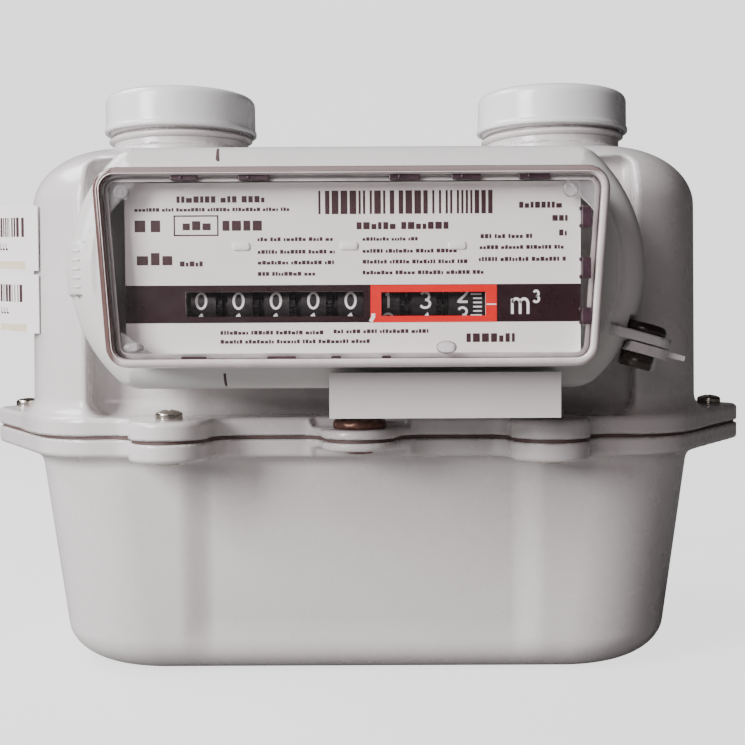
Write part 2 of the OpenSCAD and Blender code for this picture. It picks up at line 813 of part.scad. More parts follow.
module crank_bracket() color(STEEL)
    difference() {
        union() {
            translate([-14, 27.5, valve_plate_top]) cube([34, 2, 25]);
            translate([-14, 27.5, valve_plate_top]) cube([34, 7.5, 1.5]);
            translate([-14, -8, crank_z - 3]) cube([34, 37.5, 2]);
            translate([5, 6, counter_z - 6]) cube([13, 2, crank_z - 2 - counter_z + 5]);
        }
        translate([0, 0, counter_z]) cylinder(r = 2.2 + run_fit, h = 20);
        along_front(input_x, 20, counter_z) cylinder(r = drive_shaft_r + run_fit, h = 30);
    }

// Pipe from the valve plate up into the outlet connection.
module outlet_duct() color(NYLON)
    translate([port_x, 0, valve_plate_top])
        difference() {
            union() {
                cylinder(r = duct_r, h = roof_z - 1 - valve_plate_top);
                cylinder(r = duct_r + 2.5, h = 2);
            }
            translate([0, 0, -1]) cylinder(r = duct_r - 2, h = 80);
        }

module duct_seal() color(DARK)
    translate([port_x, 0, roof_z - 4])
        difference() {
            cylinder(r = port_bore_r, h = 3);
            translate([0, 0, -1]) cylinder(r = duct_r, h = 6);
        }

// ---------------------------------------------------------------- output

lower_casing();
upper_casing();
casing_gasket();
flange_screws();
casing_seal();
inlet_cap();
outlet_cap();
index_housing();
index_gasket();
index_screws();
index_cover();
label_plate();
counter_frame();
counter_shaft();
pinion_shaft();
drive_pinion();
crown_gear();
output_gear();
idler_gear();
input_gear();
drive_shaft();
shaft_gland();
worm_wheel();
pulse_module();
seal_bracket();
index_seal();
side_labels();
measuring_body();
front_chamber_cover();
rear_chamber_cover();
front_diaphragm();
rear_diaphragm();
front_pan();
rear_pan();
front_flag_rod();
rear_flag_rod();
front_link();
rear_link();
valve_plate();
rotary_valve();
crank();
crank_bracket();
outlet_duct();
duct_seal();
for (k = [1:WHEELS])
    number_wheel(k);
for (k = [1:PINIONS])
    transfer_pinion(k);
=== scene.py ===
"""Domestic gas meter with two capped connections and a roller counter.

Lengths are millimetres until mesh_piece() turns them into metres. The frame is the part's own:
+Z up, -Y to the front, origin on the base plane midway between the two connections.
"""

import json
import math

import bpy
import numpy as np
from mathutils import Matrix, Vector

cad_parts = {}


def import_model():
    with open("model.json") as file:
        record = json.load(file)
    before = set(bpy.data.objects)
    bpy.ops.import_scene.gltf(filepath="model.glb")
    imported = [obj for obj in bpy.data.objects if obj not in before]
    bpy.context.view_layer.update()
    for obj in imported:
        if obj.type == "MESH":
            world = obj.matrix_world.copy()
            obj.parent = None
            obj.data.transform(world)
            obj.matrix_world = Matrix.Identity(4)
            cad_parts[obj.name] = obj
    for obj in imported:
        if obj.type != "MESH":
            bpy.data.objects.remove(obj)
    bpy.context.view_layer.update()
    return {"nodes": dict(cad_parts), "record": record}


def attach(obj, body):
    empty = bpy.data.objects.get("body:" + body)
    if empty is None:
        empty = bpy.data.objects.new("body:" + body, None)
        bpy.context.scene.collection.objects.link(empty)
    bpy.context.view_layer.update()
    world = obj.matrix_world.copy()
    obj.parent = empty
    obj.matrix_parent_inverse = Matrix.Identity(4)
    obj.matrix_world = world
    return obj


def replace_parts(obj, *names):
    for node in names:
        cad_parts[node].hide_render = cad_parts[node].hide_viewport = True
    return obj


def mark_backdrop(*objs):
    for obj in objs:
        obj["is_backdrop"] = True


MM = 0.001

# Casing
PORT_X = 55.0
JOINT_Z = 63.0
ROOF_Z = 140.0
WALL = 3.5
CASING_HALF_D = 52.5
CORNER_R = 29.0
UPPER_HALF_W = 91.4
LOWER_HALF_W = 90.1
FOOT_HALF_W = 83.1
FOOT_HALF_D = 51.0
FOOT_W = 14.0
FOOT_H = 10.0
SHOULDER_W = 22.0
SHOULDER_H = 16.0
LOWER_FLANGE = (57.9, 62.7)
UPPER_FLANGE = (63.3, 68.1)
PANEL_EDGE = 43.0
PANEL_STEP = 9.0
PANEL_DEPTH = 2.3
RECESS_HALF_W = 70.5
RECESS_Y = -41.0
RECESS_TOP = 135.0
SCREWS = ((47.5, 61.5), (102.0, 0.0))
LOBE_R = 10.0
CENTRE_LOBE_Y = 60.5
SEAL_LUG = (60.5, 65.7)
SEAL_LUG_HALF_W = 12.5
LOWER_LUG_BACK = 55.0
UPPER_LUG_BACK = 53.3
FLANGE_EDGE_R = 1.1
SEAM_EDGE_R = 0.4
BORE_R = 17.5
NECK_R = 19.6
THREAD_R = 20.9
THREAD_PITCH = 2.309
PORT_TOP = 156.0
CAP_FOOT = 148.2
CAP_TOP = 159.5
GLAND = (11.6, 95.7)

# Index
INDEX_Z = 105.0
HOUSING_HALF_W = 68.6
HOUSING_HALF_H = 28.7
HOUSING_END_R = 36.5
HOUSING_BACK = -41.8
HOUSING_FRONT = -78.0
HOUSING_WALL = 3.0
RIM_W = 6.2
EAR = (66.2, -72.5, 87.0)
EAR_TILT = math.radians(15.5)
EAR_HALF_D = 7.0
EAR_LEFT = 9.3
EAR_RIGHT = 8.6
EAR_CHAMFER = 9.1
EAR_T = 2.4
EAR_GAP = 0.3
BRACKET_T = 2.3
SEAL_X = 1.6
COVER_Z = 103.9
COVER_FRONT = -98.0
COVER_WALL = 2.0
COVER_HALF_H = 22.0
COVER_TOP_HALF_W = 56.6
COVER_TAPER = 2.4
COVER_CORNER_R = 5.0
LABEL_FRONT = -91.5
LABEL_HALF_W = 50.8

# Counter
COUNTER_Y = -81.3
COUNTER_Z = 95.7
WHEEL_R = 7.6
WHEEL_COUNT = 8
DIGIT_X = -34.4
DIGIT_PITCH = 8.43
DIGIT_HALF_W = 1.1
DIGIT_HALF_H = 1.75
DIGIT_TURN = 36.0
READING = (0, 0, 0, 0, 0, 1, 3, 2.5)
WINDOWS = ((-37.4, 2.3), (6.3, 29.6))
WINDOW_HALF_H = 3.0

# How much the floor and backdrop glow to the camera alone
FLOOR_LIFT = 1.7

# Height of printed ink over its sheet
INK_T = 0.03

# Clear plastic with more haze than this throws a shadow
FROSTED = 0.1


# ---- scene and meshes


def linear(colour):
    """Display colour, 0 to 255, to the linear values that shaders use."""
    return tuple(
        (c / 12.92 if c <= 0.04045 else ((c + 0.055) / 1.055) ** 2.4)
        for c in (v / 255 for v in colour)
    )


def mesh_piece(name, points, faces, material, body, smooth=True, normals=None):
    """A mesh in millimetres that rides on a body and takes the given finish."""
    mesh = bpy.data.meshes.new(name)
    mesh.from_pydata((np.asarray(points, float) * MM).tolist(), [], faces)
    mesh.validate()
    mesh.polygons.foreach_set("use_smooth", [smooth] * len(mesh.polygons))
    if normals is not None:
        mesh.normals_split_custom_set_from_vertices(np.asarray(normals).tolist())
    mesh.materials.append(material)
    piece = bpy.data.objects.new(name, mesh)
    bpy.context.scene.collection.objects.link(piece)
    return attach(piece, body)


def soften(piece, width, segments=2):
    """Rounds a piece's sharp edges."""
    bevel = piece.modifiers.new("rounded edges", "BEVEL")
    bevel.width = width * MM
    bevel.segments = segments
    bevel.limit_method = "ANGLE"
    bevel.angle_limit = math.radians(35)
    bevel.use_clamp_overlap = True
    bevel.harden_normals = False
    return piece


class Shape:
    """Points and faces gathered into one mesh."""

    def __init__(self):
        self.points = []
        self.faces = []

    def add(self, points, faces):
        first = len(self.points)
        self.points += [tuple(p) for p in points]
        self.faces += [tuple(first + i for i in face) for face in faces]
        return self

    def box(self, low, high):
        corners = [
            (x, y, z) for x in (low[0], high[0]) for y in (low[1], high[1]) for z in (low[2], high[2])
        ]
        return self.add(
            corners,
            [(0, 1, 3, 2), (4, 6, 7, 5), (0, 4, 5, 1), (2, 3, 7, 6), (0, 2, 6, 4), (1, 5, 7, 3)],
        )

    def loft(self, rings):
        """Skins rings of equal length, each a list of points; ends are filled."""
        count = len(rings[0])
        faces = []
        for i in range(len(rings) - 1):
            for j in range(count):
                k = (j + 1) % count
                a, b = i * count, (i + 1) * count
                faces.append((a + j, a + k, b + k, b + j))
        faces.append(tuple(reversed(range(count))))
        faces.append(tuple(range((len(rings) - 1) * count, len(rings) * count)))
        return self.add([p for ring in rings for p in ring], faces)

    def wrap(self, points, count):
        """Skins rings of count points each, with the last ring joined to the first."""
        faces = []
        for a in range(0, len(points), count):
            faces += ring_faces(a, (a + count) % len(points), count)
        return self.add(points, faces)

    def piece(self, name, material, body, slot, smooth=True):
        return mesh_piece(name, self.points, self.faces, material, body, smooth)


def ring_faces(a, b, count):
    """Quads between two rings of count points, which start at points a and b."""
    return [(a + j, b + j, b + (j + 1) % count, a + (j + 1) % count) for j in range(count)]


def lathe(shape, profile, centre, steps=96, turn=None):
    """Turns a closed profile of (radius, height) about +Z at centre; turn places the result."""
    points = []
    for i in range(steps):
        a = 2 * math.pi * i / steps
        for r, h in profile:
            p = Vector((r * math.cos(a), r * math.sin(a), h))
            points.append((turn @ p if turn else p) + Vector(centre))
    return shape.wrap(points, len(profile))


def arc(centre, radii, start, end, steps=10):
    """Points along an arc, in degrees."""
    return [
        (
            centre[0] + radii[0] * math.cos(math.radians(a)),
            centre[1] + radii[1] * math.sin(math.radians(a)),
        )
        for a in np.linspace(start, end, steps)
    ]


# ---- distance fields


def plan_box(x, y, half_x, half_y, r):
    """Distance to a rounded rectangle."""
    qx, qy = np.abs(x) - half_x + r, np.abs(y) - half_y + r
    return np.hypot(np.maximum(qx, 0), np.maximum(qy, 0)) + np.minimum(np.maximum(qx, qy), 0) - r


def join(a, b, r):
    """Union with a fillet of radius r."""
    return np.maximum(r, np.minimum(a, b)) - np.hypot(np.maximum(r - a, 0), np.maximum(r - b, 0))


def meet(a, b, r):
    """Intersection with its edge rounded to radius r."""
    return np.minimum(-r, np.maximum(a, b)) + np.hypot(np.maximum(a + r, 0), np.maximum(b + r, 0))


def oval_edge(a, b, width, height):
    """Intersection with an elliptical edge, width along a and height along b."""
    u, v = np.maximum(a + width, 0) / width, np.maximum(b + height, 0) / height
    size = np.hypot(u, v)
    slope = np.hypot(u / width, v / height)
    edge = (size - 1) * size / np.maximum(slope, 1e-9)
    return np.where(size > 0.05, edge, np.maximum(a, b))


def ease(v, low, high):
    t = np.clip((v - low) / (high - low), 0, 1)
    return t * t * (3 - 2 * t)


def surface_net(field, low, high, step):
    """Points and quads of a field's zero surface inside a box, moved onto that surface."""
    axes = [np.arange(a, b + s, s) for a, b, s in zip(low, high, step)]
    value = np.broadcast_to(
        field(axes[0][:, None, None], axes[1][None, :, None], axes[2][None, None, :]),
        [len(a) for a in axes],
    )
    cells = tuple(n - 1 for n in value.shape)
    total, count = np.zeros(cells + (3,)), np.zeros(cells, int)
    crossings = []
    for axis in range(3):
        others = [(axis + 1) % 3, (axis + 2) % 3]
        near = [slice(None)] * 3
        far = [slice(None)] * 3
        near[axis], far[axis] = slice(None, -1), slice(1, None)
        a, b = value[tuple(near)], value[tuple(far)]
        where = np.argwhere((a < 0) != (b < 0))
        index = tuple(where.T)
        share = a[index] / (a[index] - b[index])
        place = np.stack([axes[n][where[:, n]] for n in range(3)], -1)
        place[:, axis] += share * (axes[axis][where[:, axis] + 1] - place[:, axis])
        crossings.append((axis, where, a[index] < 0))
        for i in (0, 1):
            for j in (0, 1):
                cell = where.copy()
                cell[:, others[0]] -= i
                cell[:, others[1]] -= j
                fits = ((cell >= 0) & (cell < cells)).all(1)
                np.add.at(total, tuple(cell[fits].T), place[fits])
                np.add.at(count, tuple(cell[fits].T), 1)
    used = count > 0
    number = np.full(cells, -1)
    number[used] = np.arange(used.sum())
    points = total[used] / count[used][:, None]
    faces = []
    for axis, where, inside in crossings:
        others = [(axis + 1) % 3, (axis + 2) % 3]
        inner = np.ones(len(where), bool)
        for n in others:
            inner &= (where[:, n] > 0) & (where[:, n] < cells[n])
        where, inside = where[inner], inside[inner]
        corners = []
        for i, j in ((1, 1), (0, 1), (0, 0), (1, 0)):
            cell = where.copy()
            cell[:, others[0]] -= i
            cell[:, others[1]] -= j
            corners.append(number[tuple(cell.T)])
        quads = np.stack(corners, -1)
        quads[~inside] = quads[~inside][:, ::-1]
        faces.append(quads)
    for _ in range(4):
        here = field(*points.T)
        slope = gradient(field, points)
        shift = here[:, None] * slope / np.maximum((slope**2).sum(1), 0.05)[:, None]
        length = np.linalg.norm(shift, axis=1, keepdims=True)
        points = points - shift * np.minimum(1, 0.6 * min(step) / np.maximum(length, 1e-9))
    slope = gradient(field, points)
    normals = slope / np.maximum(np.linalg.norm(slope, axis=1, keepdims=True), 1e-9)
    return points, np.concatenate(faces).tolist(), normals


def gradient(field, points, reach=0.05):
    return np.stack(
        [
            (field(*(points + reach * e).T) - field(*(points - reach * e).T)) / (2 * reach)
            for e in np.eye(3)
        ],
        -1,
    )


# ---- finishes


class Nodes:
    """Builds a material's node tree."""

    def __init__(self, name):
        self.material = bpy.data.materials.new(name)
        self.material.use_nodes = True
        self.tree = self.material.node_tree
        self.tree.nodes.clear()
        self.place = self.add("ShaderNodeTexCoord").outputs["Object"]

    def add(self, kind, inputs=None, **values):
        """A node; each input is given a value or linked from a socket."""
        node = self.tree.nodes.new(kind)
        for key, value in values.items():
            setattr(node, key, value)
        for key, value in (inputs or {}).items():
            if isinstance(value, bpy.types.NodeSocket):
                self.tree.links.new(value, node.inputs[key])
            else:
                node.inputs[key].default_value = value
        return node

    def link(self, source, target):
        self.tree.links.new(source, target)

    def noise(self, size, detail=3.0, rough=0.55, stretch=None):
        """Noise whose features are about size millimetres."""
        place = self.place
        if stretch:
            mapping = self.add("ShaderNodeMapping", {"Vector": place, "Scale": stretch})
            place = mapping.outputs["Vector"]
        inputs = {"Scale": 1000 / size, "Detail": detail, "Roughness": rough, "Vector": place}
        return self.add("ShaderNodeTexNoise", inputs).outputs["Fac"]

    def span(self, source, low, high, start=0.3, end=0.7):
        """Maps the range from start to end onto the range from low to high."""
        inputs = {"Value": source, "From Min": start, "From Max": end, "To Min": low, "To Max": high}
        return self.add("ShaderNodeMapRange", inputs).outputs["Result"]

    def mix(self, factor, a, b):
        """Blend of two linear colours, or of a colour socket and a colour."""
        inputs = {0: factor, 6: a if isinstance(a, bpy.types.NodeSocket) else (*a, 1), 7: (*b, 1)}
        return self.add("ShaderNodeMix", inputs, data_type="RGBA").outputs[2]

    def bump(self, source, height, normal=None):
        """Bump of height millimetres, on top of another bump."""
        inputs = {"Strength": 1, "Distance": height * MM, "Height": source}
        if normal:
            inputs["Normal"] = normal
        return self.add("ShaderNodeBump", inputs).outputs["Normal"]

    def blend(self, factor, a, b):
        """Blend of two shaders."""
        return self.add("ShaderNodeMixShader", {0: factor, 1: a, 2: b}).outputs[0]

    def output(self, shader):
        self.add("ShaderNodeOutputMaterial", {"Surface": shader})
        return self.material


def shade(colour, amount):
    return tuple(min(1, max(0, c * amount)) for c in colour)


def finish(
    name, colour, rough=0.4, metallic=0.0, mottle=0.06, mottle_size=30.0, grain=0.0, grain_size=0.8,
    wave=0.0, wave_size=12.0, coat=0.0, dust=0.0, dust_colour=(120, 110, 100), stretch=None,
):
    """A solid finish: cloudy colour, uneven gloss, fine grain, slow waviness and a little dust."""
    n = Nodes(name)
    base = linear(colour)
    cloud = n.span(n.noise(mottle_size, 4), 0, 1, 0.35, 0.65)
    tone = n.mix(cloud, shade(base, 1 - mottle), shade(base, 1 + mottle))
    fine = n.noise(grain_size, 2, 0.5, stretch)
    tone = n.mix(n.span(fine, 0, 0.35), tone, shade(base, 1 - 1.5 * mottle))
    if dust:
        tone = n.mix(n.span(n.noise(2.2, 6, 0.7), 0, dust, 0.58, 0.72), tone, linear(dust_colour))
    normal = n.bump(fine, max(grain, 0.002))
    if wave:
        normal = n.bump(n.noise(wave_size, 1), wave, normal)
    inputs = {
        "Base Color": tone,
        "Roughness": n.span(n.noise(mottle_size / 4, 5), rough * 0.86, rough * 1.16),
        "Metallic": metallic,
        "Coat Weight": coat,
        "Coat Roughness": 0.12,
        "Normal": normal,
    }
    return n.output(n.add("ShaderNodeBsdfPrincipled", inputs).outputs["BSDF"])


def clear_finish(name, tint=(252, 252, 252), haze=0.004, gloss=0.05, ior=1.18):
    """Clear plastic without refraction: see-through, sharp reflections, faint smears."""
    n = Nodes(name)
    see = n.add("ShaderNodeBsdfTransparent", {"Color": (*linear(tint), 1)})
    rough = n.span(n.noise(9, 4), gloss, gloss * 2.2)
    shine = n.add("ShaderNodeBsdfGlossy", {"Color": (1, 1, 1, 1), "Roughness": rough})
    fog = n.add("ShaderNodeBsdfDiffuse", {"Color": (*linear((240, 236, 236)), 1)})
    fresnel = n.add("ShaderNodeFresnel", {"IOR": ior, "Normal": n.bump(n.noise(25, 1), 0.05)})
    cloud = n.span(n.noise(14, 5, 0.65), haze * 0.7, haze * 1.3)
    face = n.blend(fresnel.outputs[0], n.blend(cloud, see.outputs[0], fog.outputs[0]), shine.outputs[0])
    if haze < FROSTED:
        # light passes to the label as through a clear sheet
        rays = n.add("ShaderNodeLightPath")
        passing = n.add("ShaderNodeBsdfTransparent")
        face = n.blend(rays.outputs["Is Shadow Ray"], face, passing.outputs[0])
    return n.output(face)


def painted_shade_rim_finish(name):
    """The cover's thick edge, darker at the left and top by position: painted shade for the dark surroundings
    that the clear edge refracts there.
    """
    n = Nodes(name)
    axes = n.add("ShaderNodeSeparateXYZ", {0: n.place})
    # painted shade: masks set by position that darken the rim at its left end and along its top edge
    left = n.span(axes.outputs["X"], 1, 0, -0.0525, -0.0505)
    top = n.span(axes.outputs["Z"], 0, 0.75, 0.1235, 0.1245)
    dark = n.add("ShaderNodeMath", {0: left, 1: top}, operation="MAXIMUM").outputs[0]
    tone = n.mix(dark, linear((218, 208, 208)), linear((92, 66, 64)))
    tone = n.mix(n.span(n.noise(5, 4), 0, 0.25), tone, linear((120, 104, 100)))
    inputs = {
        "Base Color": tone,
        "Roughness": n.span(n.noise(3, 3), 0.14, 0.24),
        "Coat Weight": 0.6,
        "Normal": n.bump(n.noise(6, 2), 0.03),
    }
    return n.output(n.add("ShaderNodeBsdfPrincipled", inputs).outputs["BSDF"])


def materials():
    made = {
        "casing_paint": finish(
            "casing paint", (206, 201, 201), 0.27, mottle=0.03, mottle_size=40, grain=0.004,
            grain_size=0.9, wave=0.06, wave_size=14, coat=0.25, dust=0.10,
        ),
        "cap_plastic": finish(
            "cap plastic", (220, 221, 223), 0.28, mottle=0.02, grain=0.003, grain_size=0.6,
            wave=0.03, wave_size=9, coat=0.15,
        ),
        "index_plastic": finish(
            "index plastic", (203, 202, 200), 0.34, mottle=0.02, grain=0.004, grain_size=0.35,
            wave=0.03, wave_size=16,
        ),
        "module_plastic": finish(
            "module plastic", (205, 199, 199), 0.38, mottle=0.02, grain=0.006, grain_size=0.3,
            wave=0.03, wave_size=18,
        ),
        "label_card": finish("label card", (232, 227, 226), 0.42, mottle=0.02, mottle_size=18, grain=0.002),
        "sticker_paper": finish(
            "sticker paper", (232, 229, 228), 0.55, mottle=0.02, mottle_size=6, grain=0.01, grain_size=0.4,
        ),
        "wheel_plastic": finish(
            "wheel plastic", (20, 14, 17), 0.36, mottle=0.2, mottle_size=4, grain=0.01, grain_size=0.3,
            dust=0.15, dust_colour=(90, 82, 84),
        ),
        "white_nylon": finish(
            "nylon", (222, 216, 202), 0.5, mottle=0.03, mottle_size=8, grain=0.006, grain_size=0.3,
        ),
        "mechanism_steel": finish(
            "mechanism steel", (176, 176, 180), 0.3, 1.0, mottle=0.05, mottle_size=6, grain=0.004,
            grain_size=0.5, stretch=(1, 9, 1),
        ),
        "plated_screws": finish(
            "plated screws", (196, 190, 180), 0.2, 1.0, mottle=0.12, mottle_size=2, grain=0.01,
            grain_size=0.5, dust=0.3, dust_colour=(86, 72, 58),
        ),
        "seal_rubber": finish(
            "seal rubber", (92, 72, 68), 0.6, mottle=0.15, mottle_size=7, grain=0.02, grain_size=0.4,
        ),
        "seal_wax": finish(
            "seal metal", (120, 88, 78), 0.38, 0.75, mottle=0.35, mottle_size=2.6, grain=0.12,
            grain_size=1.1, dust=0.6, dust_colour=(58, 34, 28),
        ),
        "dark_seal": finish(
            "dark seal", (52, 44, 40), 0.25, mottle=0.2, mottle_size=3, grain=0.04, grain_size=0.8,
        ),
        "gland_brass": finish(
            "gland brass", (190, 155, 92), 0.3, 1.0, mottle=0.08, mottle_size=4, grain=0.006, grain_size=0.3,
        ),
        "unit_plastic": finish(
            "unit plastic", (52, 55, 60), 0.5, mottle=0.08, mottle_size=12, grain=0.02, grain_size=0.5,
        ),
        "diaphragm_rubber": finish(
            "diaphragm", (42, 39, 36), 0.65, mottle=0.1, mottle_size=3, grain=0.03, grain_size=0.4,
        ),
    }
    made["clear"] = clear_finish("clear cover")
    made["clear_edge"] = clear_finish("clear cover walls", (240, 240, 242), 0.8, 0.08, 1.4)
    made["clear_web"] = clear_finish("clear cover webs", (244, 244, 246), 0.2, 0.06, 1.4)
    made["rim"] = painted_shade_rim_finish("cover rim")
    made["print"] = finish("dark print", (50, 13, 24), 0.5, mottle=0.1, mottle_size=3, grain=0.002)
    made["strip"] = finish(
        "counter strip", (34, 10, 17), 0.3, mottle=0.06, mottle_size=20, grain=0.002,
    )
    made["red"] = finish("red frame", (214, 4, 4), 0.4, mottle=0.03, mottle_size=9, grain=0.002)
    made["white_print"] = finish("white print", (236, 232, 234), 0.5, mottle=0.03, mottle_size=2)
    made["tan"] = finish("tan paper", (214, 200, 176), 0.6, mottle=0.05, mottle_size=3, grain=0.01)
    made["mark"] = finish("mark ink", (66, 40, 46), 0.5, mottle=0.15, mottle_size=1)
    made["slot_dark"] = finish("cover latches", (62, 42, 52), 0.3, mottle=0.3, mottle_size=1.6, grain=0.02)
    return made


# ---- casing


def flange_plan(x, y):
    """Distance to the outline shared by both flanges."""
    ax, ay = np.abs(x), np.abs(y)
    outline = plan_box(ax, ay, 88, 55, 20)
    # horn towards the end lobe: a circle of 20 at the corner tapering to the lobe
    px, py = ax - SCREWS[1][0] + 2, ay
    along = np.array([-32.0, 35.0]) / math.hypot(32, 35)
    length = math.hypot(32, 35)
    t = px * along[0] + py * along[1]
    side = np.abs(px * along[1] - py * along[0])
    lean = 10 / length
    slope = math.sqrt(1 - lean * lean)
    k = side * lean + t * slope
    horn = np.where(
        k < 0,
        np.hypot(side, t) - LOBE_R,
        np.where(
            k > slope * length,
            np.hypot(side, t - length) - 2 * LOBE_R,
            side * slope - t * lean - LOBE_R,
        ),
    )
    outline = np.minimum(outline, horn)
    for (cx, cy), r in ((SCREWS[0], LOBE_R), ((0, CENTRE_LOBE_Y), LOBE_R - 0.5)):
        outline = join(outline, np.hypot(ax - cx, ay - cy) - r, 7)
    return outline


def seal_lug(x, y, shape, beyond, back):
    """Thins the flange at the front lug, where the casing seal sits."""
    cut = meet(meet(np.abs(x) - SEAL_LUG_HALF_W, y + back, 1.5), -beyond, 0.9)
    return meet(shape, -cut, 0.9)


def screw_holes(x, y, shape):
    ax, ay = np.abs(x), np.abs(y)
    for cx, cy in (*SCREWS, (0, CENTRE_LOBE_Y)):
        shape = meet(shape, 2.2 - np.hypot(ax - cx, ay - cy), 0.2)
    return shape


def panel_relief(x, fade):
    beyond = ease(np.abs(x), PANEL_EDGE - PANEL_STEP / 2, PANEL_EDGE + PANEL_STEP / 2)
    return PANEL_DEPTH * (1 - beyond) * fade


def lower_body(x, y, z, inset):
    rise = (z - FOOT_H) / (JOINT_Z - FOOT_H)
    half_w = FOOT_HALF_W + (LOWER_HALF_W - FOOT_HALF_W) * np.maximum(rise, -0.26)
    half_d = FOOT_HALF_D + (CASING_HALF_D - FOOT_HALF_D) * np.maximum(rise, -0.26)
    half_d = half_d - panel_relief(x, ease(z, 1, 15))
    side = plan_box(x, y, half_w - inset, half_d - inset, CORNER_R - inset)
    return oval_edge(side, inset - z, FOOT_W, FOOT_H)


def lower_casing(x, y, z):
    low, high = LOWER_FLANGE
    flange = meet(meet(flange_plan(x, y), low - z, FLANGE_EDGE_R), z - high, SEAM_EDGE_R)
    shape = join(lower_body(x, y, z, 0), flange, 3)
    shape = meet(shape, z - high, SEAM_EDGE_R)
    shape = meet(shape, -lower_body(x, y, z, WALL), 0.6)
    shape = seal_lug(x, y, shape, SEAL_LUG[0] - z, LOWER_LUG_BACK)
    return screw_holes(x, y, shape)


def upper_body(x, y, z, inset):
    lean = 0.5 * (z - UPPER_FLANGE[1]) / (ROOF_Z - UPPER_FLANGE[1])
    side = plan_box(x, y, UPPER_HALF_W - lean - inset, CASING_HALF_D - lean - inset, CORNER_R - inset)
    return oval_edge(side, z - ROOF_Z + inset, SHOULDER_W, SHOULDER_H)


def recess(x, y, z, grow):
    """The front recess that the index sits in, as a solid to cut away."""
    back = RECESS_Y + grow + panel_relief(x, 0.7 * (1 - ease(z, 72, 77)))
    block = meet(np.abs(x) - RECESS_HALF_W - grow, y - back, 2.5)
    return meet(block, z - RECESS_TOP - grow, 2.5)


def upper_casing(x, y, z):
    low, high = UPPER_FLANGE
    shape = meet(upper_body(x, y, z, 0), -recess(x, y, z, 0), 1.6)
    flange = meet(meet(flange_plan(x, y), z - high, FLANGE_EDGE_R), low - z, SEAM_EDGE_R)
    shape = join(shape, flange, 4.5)
    port = np.hypot(np.abs(x) - PORT_X, y)
    neck = join(
        meet(port - NECK_R, z - PORT_TOP, 0.8), meet(port - THREAD_R + 0.3, z - ROOF_Z - 3.2, 0.5), 0.3
    )
    shape = join(shape, np.maximum(neck, ROOF_Z - 12 - z), 2.5)
    shape = meet(shape, low - z, SEAM_EDGE_R)
    hollow = meet(upper_body(x, y, z, WALL), -recess(x, y, z, WALL), 1.5)
    shape = meet(shape, -hollow, 0.6)
    shape = meet(shape, -np.maximum(port - BORE_R, ROOF_Z - 20 - z), 0.5)
    hole = np.hypot(x - GLAND[0], z - GLAND[1]) - 5
    shape = meet(shape, -np.maximum(hole, y + 30), 0.2)
    shape = seal_lug(x, y, shape, np.minimum(z - SEAL_LUG[1], high + 2 - z), UPPER_LUG_BACK)
    return screw_holes(x, y, shape)


def port_thread(material):
    """One helical ridge on each connection, from the collar to just under the top."""
    shape = Shape()
    low, high = ROOF_Z + 4.6, PORT_TOP - 1.6
    turns = (high - low) / THREAD_PITCH
    steps = int(turns * 72)
    for side in (-1, 1):
        rings = []
        for i in range(steps + 1):
            t = i / steps
            a = 2 * math.pi * turns * t
            z = low + (high - low) * t
            height = (THREAD_R - NECK_R) * min(1, 8 * t, 8 * (1 - t)) + 0.02
            section = [(-0.05, -0.62), (-0.05, 0.62), (height * 0.55, 0.34)]
            section += [(height, 0.12), (height, -0.12), (height * 0.55, -0.34)]
            rings.append(
                [
                    (
                        side * PORT_X + (NECK_R + r) * math.cos(a),
                        (NECK_R + r) * math.sin(a),
                        z + h * THREAD_PITCH * 0.8,
                    )
                    for r, h in section
                ]
            )
        shape.loft(rings)
    return shape.piece("port_threads", material, "casing", "casing_paint")


# ---- index housing


def housing_plan(x, z):
    """Distance to the housing's outline: round ends cut flat at top and bottom."""
    end = np.hypot(np.maximum(np.abs(x) - HOUSING_HALF_W + HOUSING_END_R, 0), z - INDEX_Z)
    return meet(end - HOUSING_END_R, np.abs(z - INDEX_Z) - HOUSING_HALF_H, 2)


def housing_outer(x, y, z):
    plan = housing_plan(x, z)
    shape = oval_edge(plan, HOUSING_FRONT - y, RIM_W, 5.5)
    bead = np.hypot(plan + RIM_W + 0.4, y - HOUSING_FRONT - 0.1) - 0.55
    shape = join(shape, bead, 0.5)
    return meet(shape, y - HOUSING_BACK, 0.8)


def ear_place(x, y, z):
    """Coordinates in the frame of the tilted sealing ear."""
    c, s = math.cos(EAR_TILT), math.sin(EAR_TILT)
    dx, dz = x - EAR[0], z - EAR[2]
    return c * dx - s * dz, y - EAR[1], s * dx + c * dz


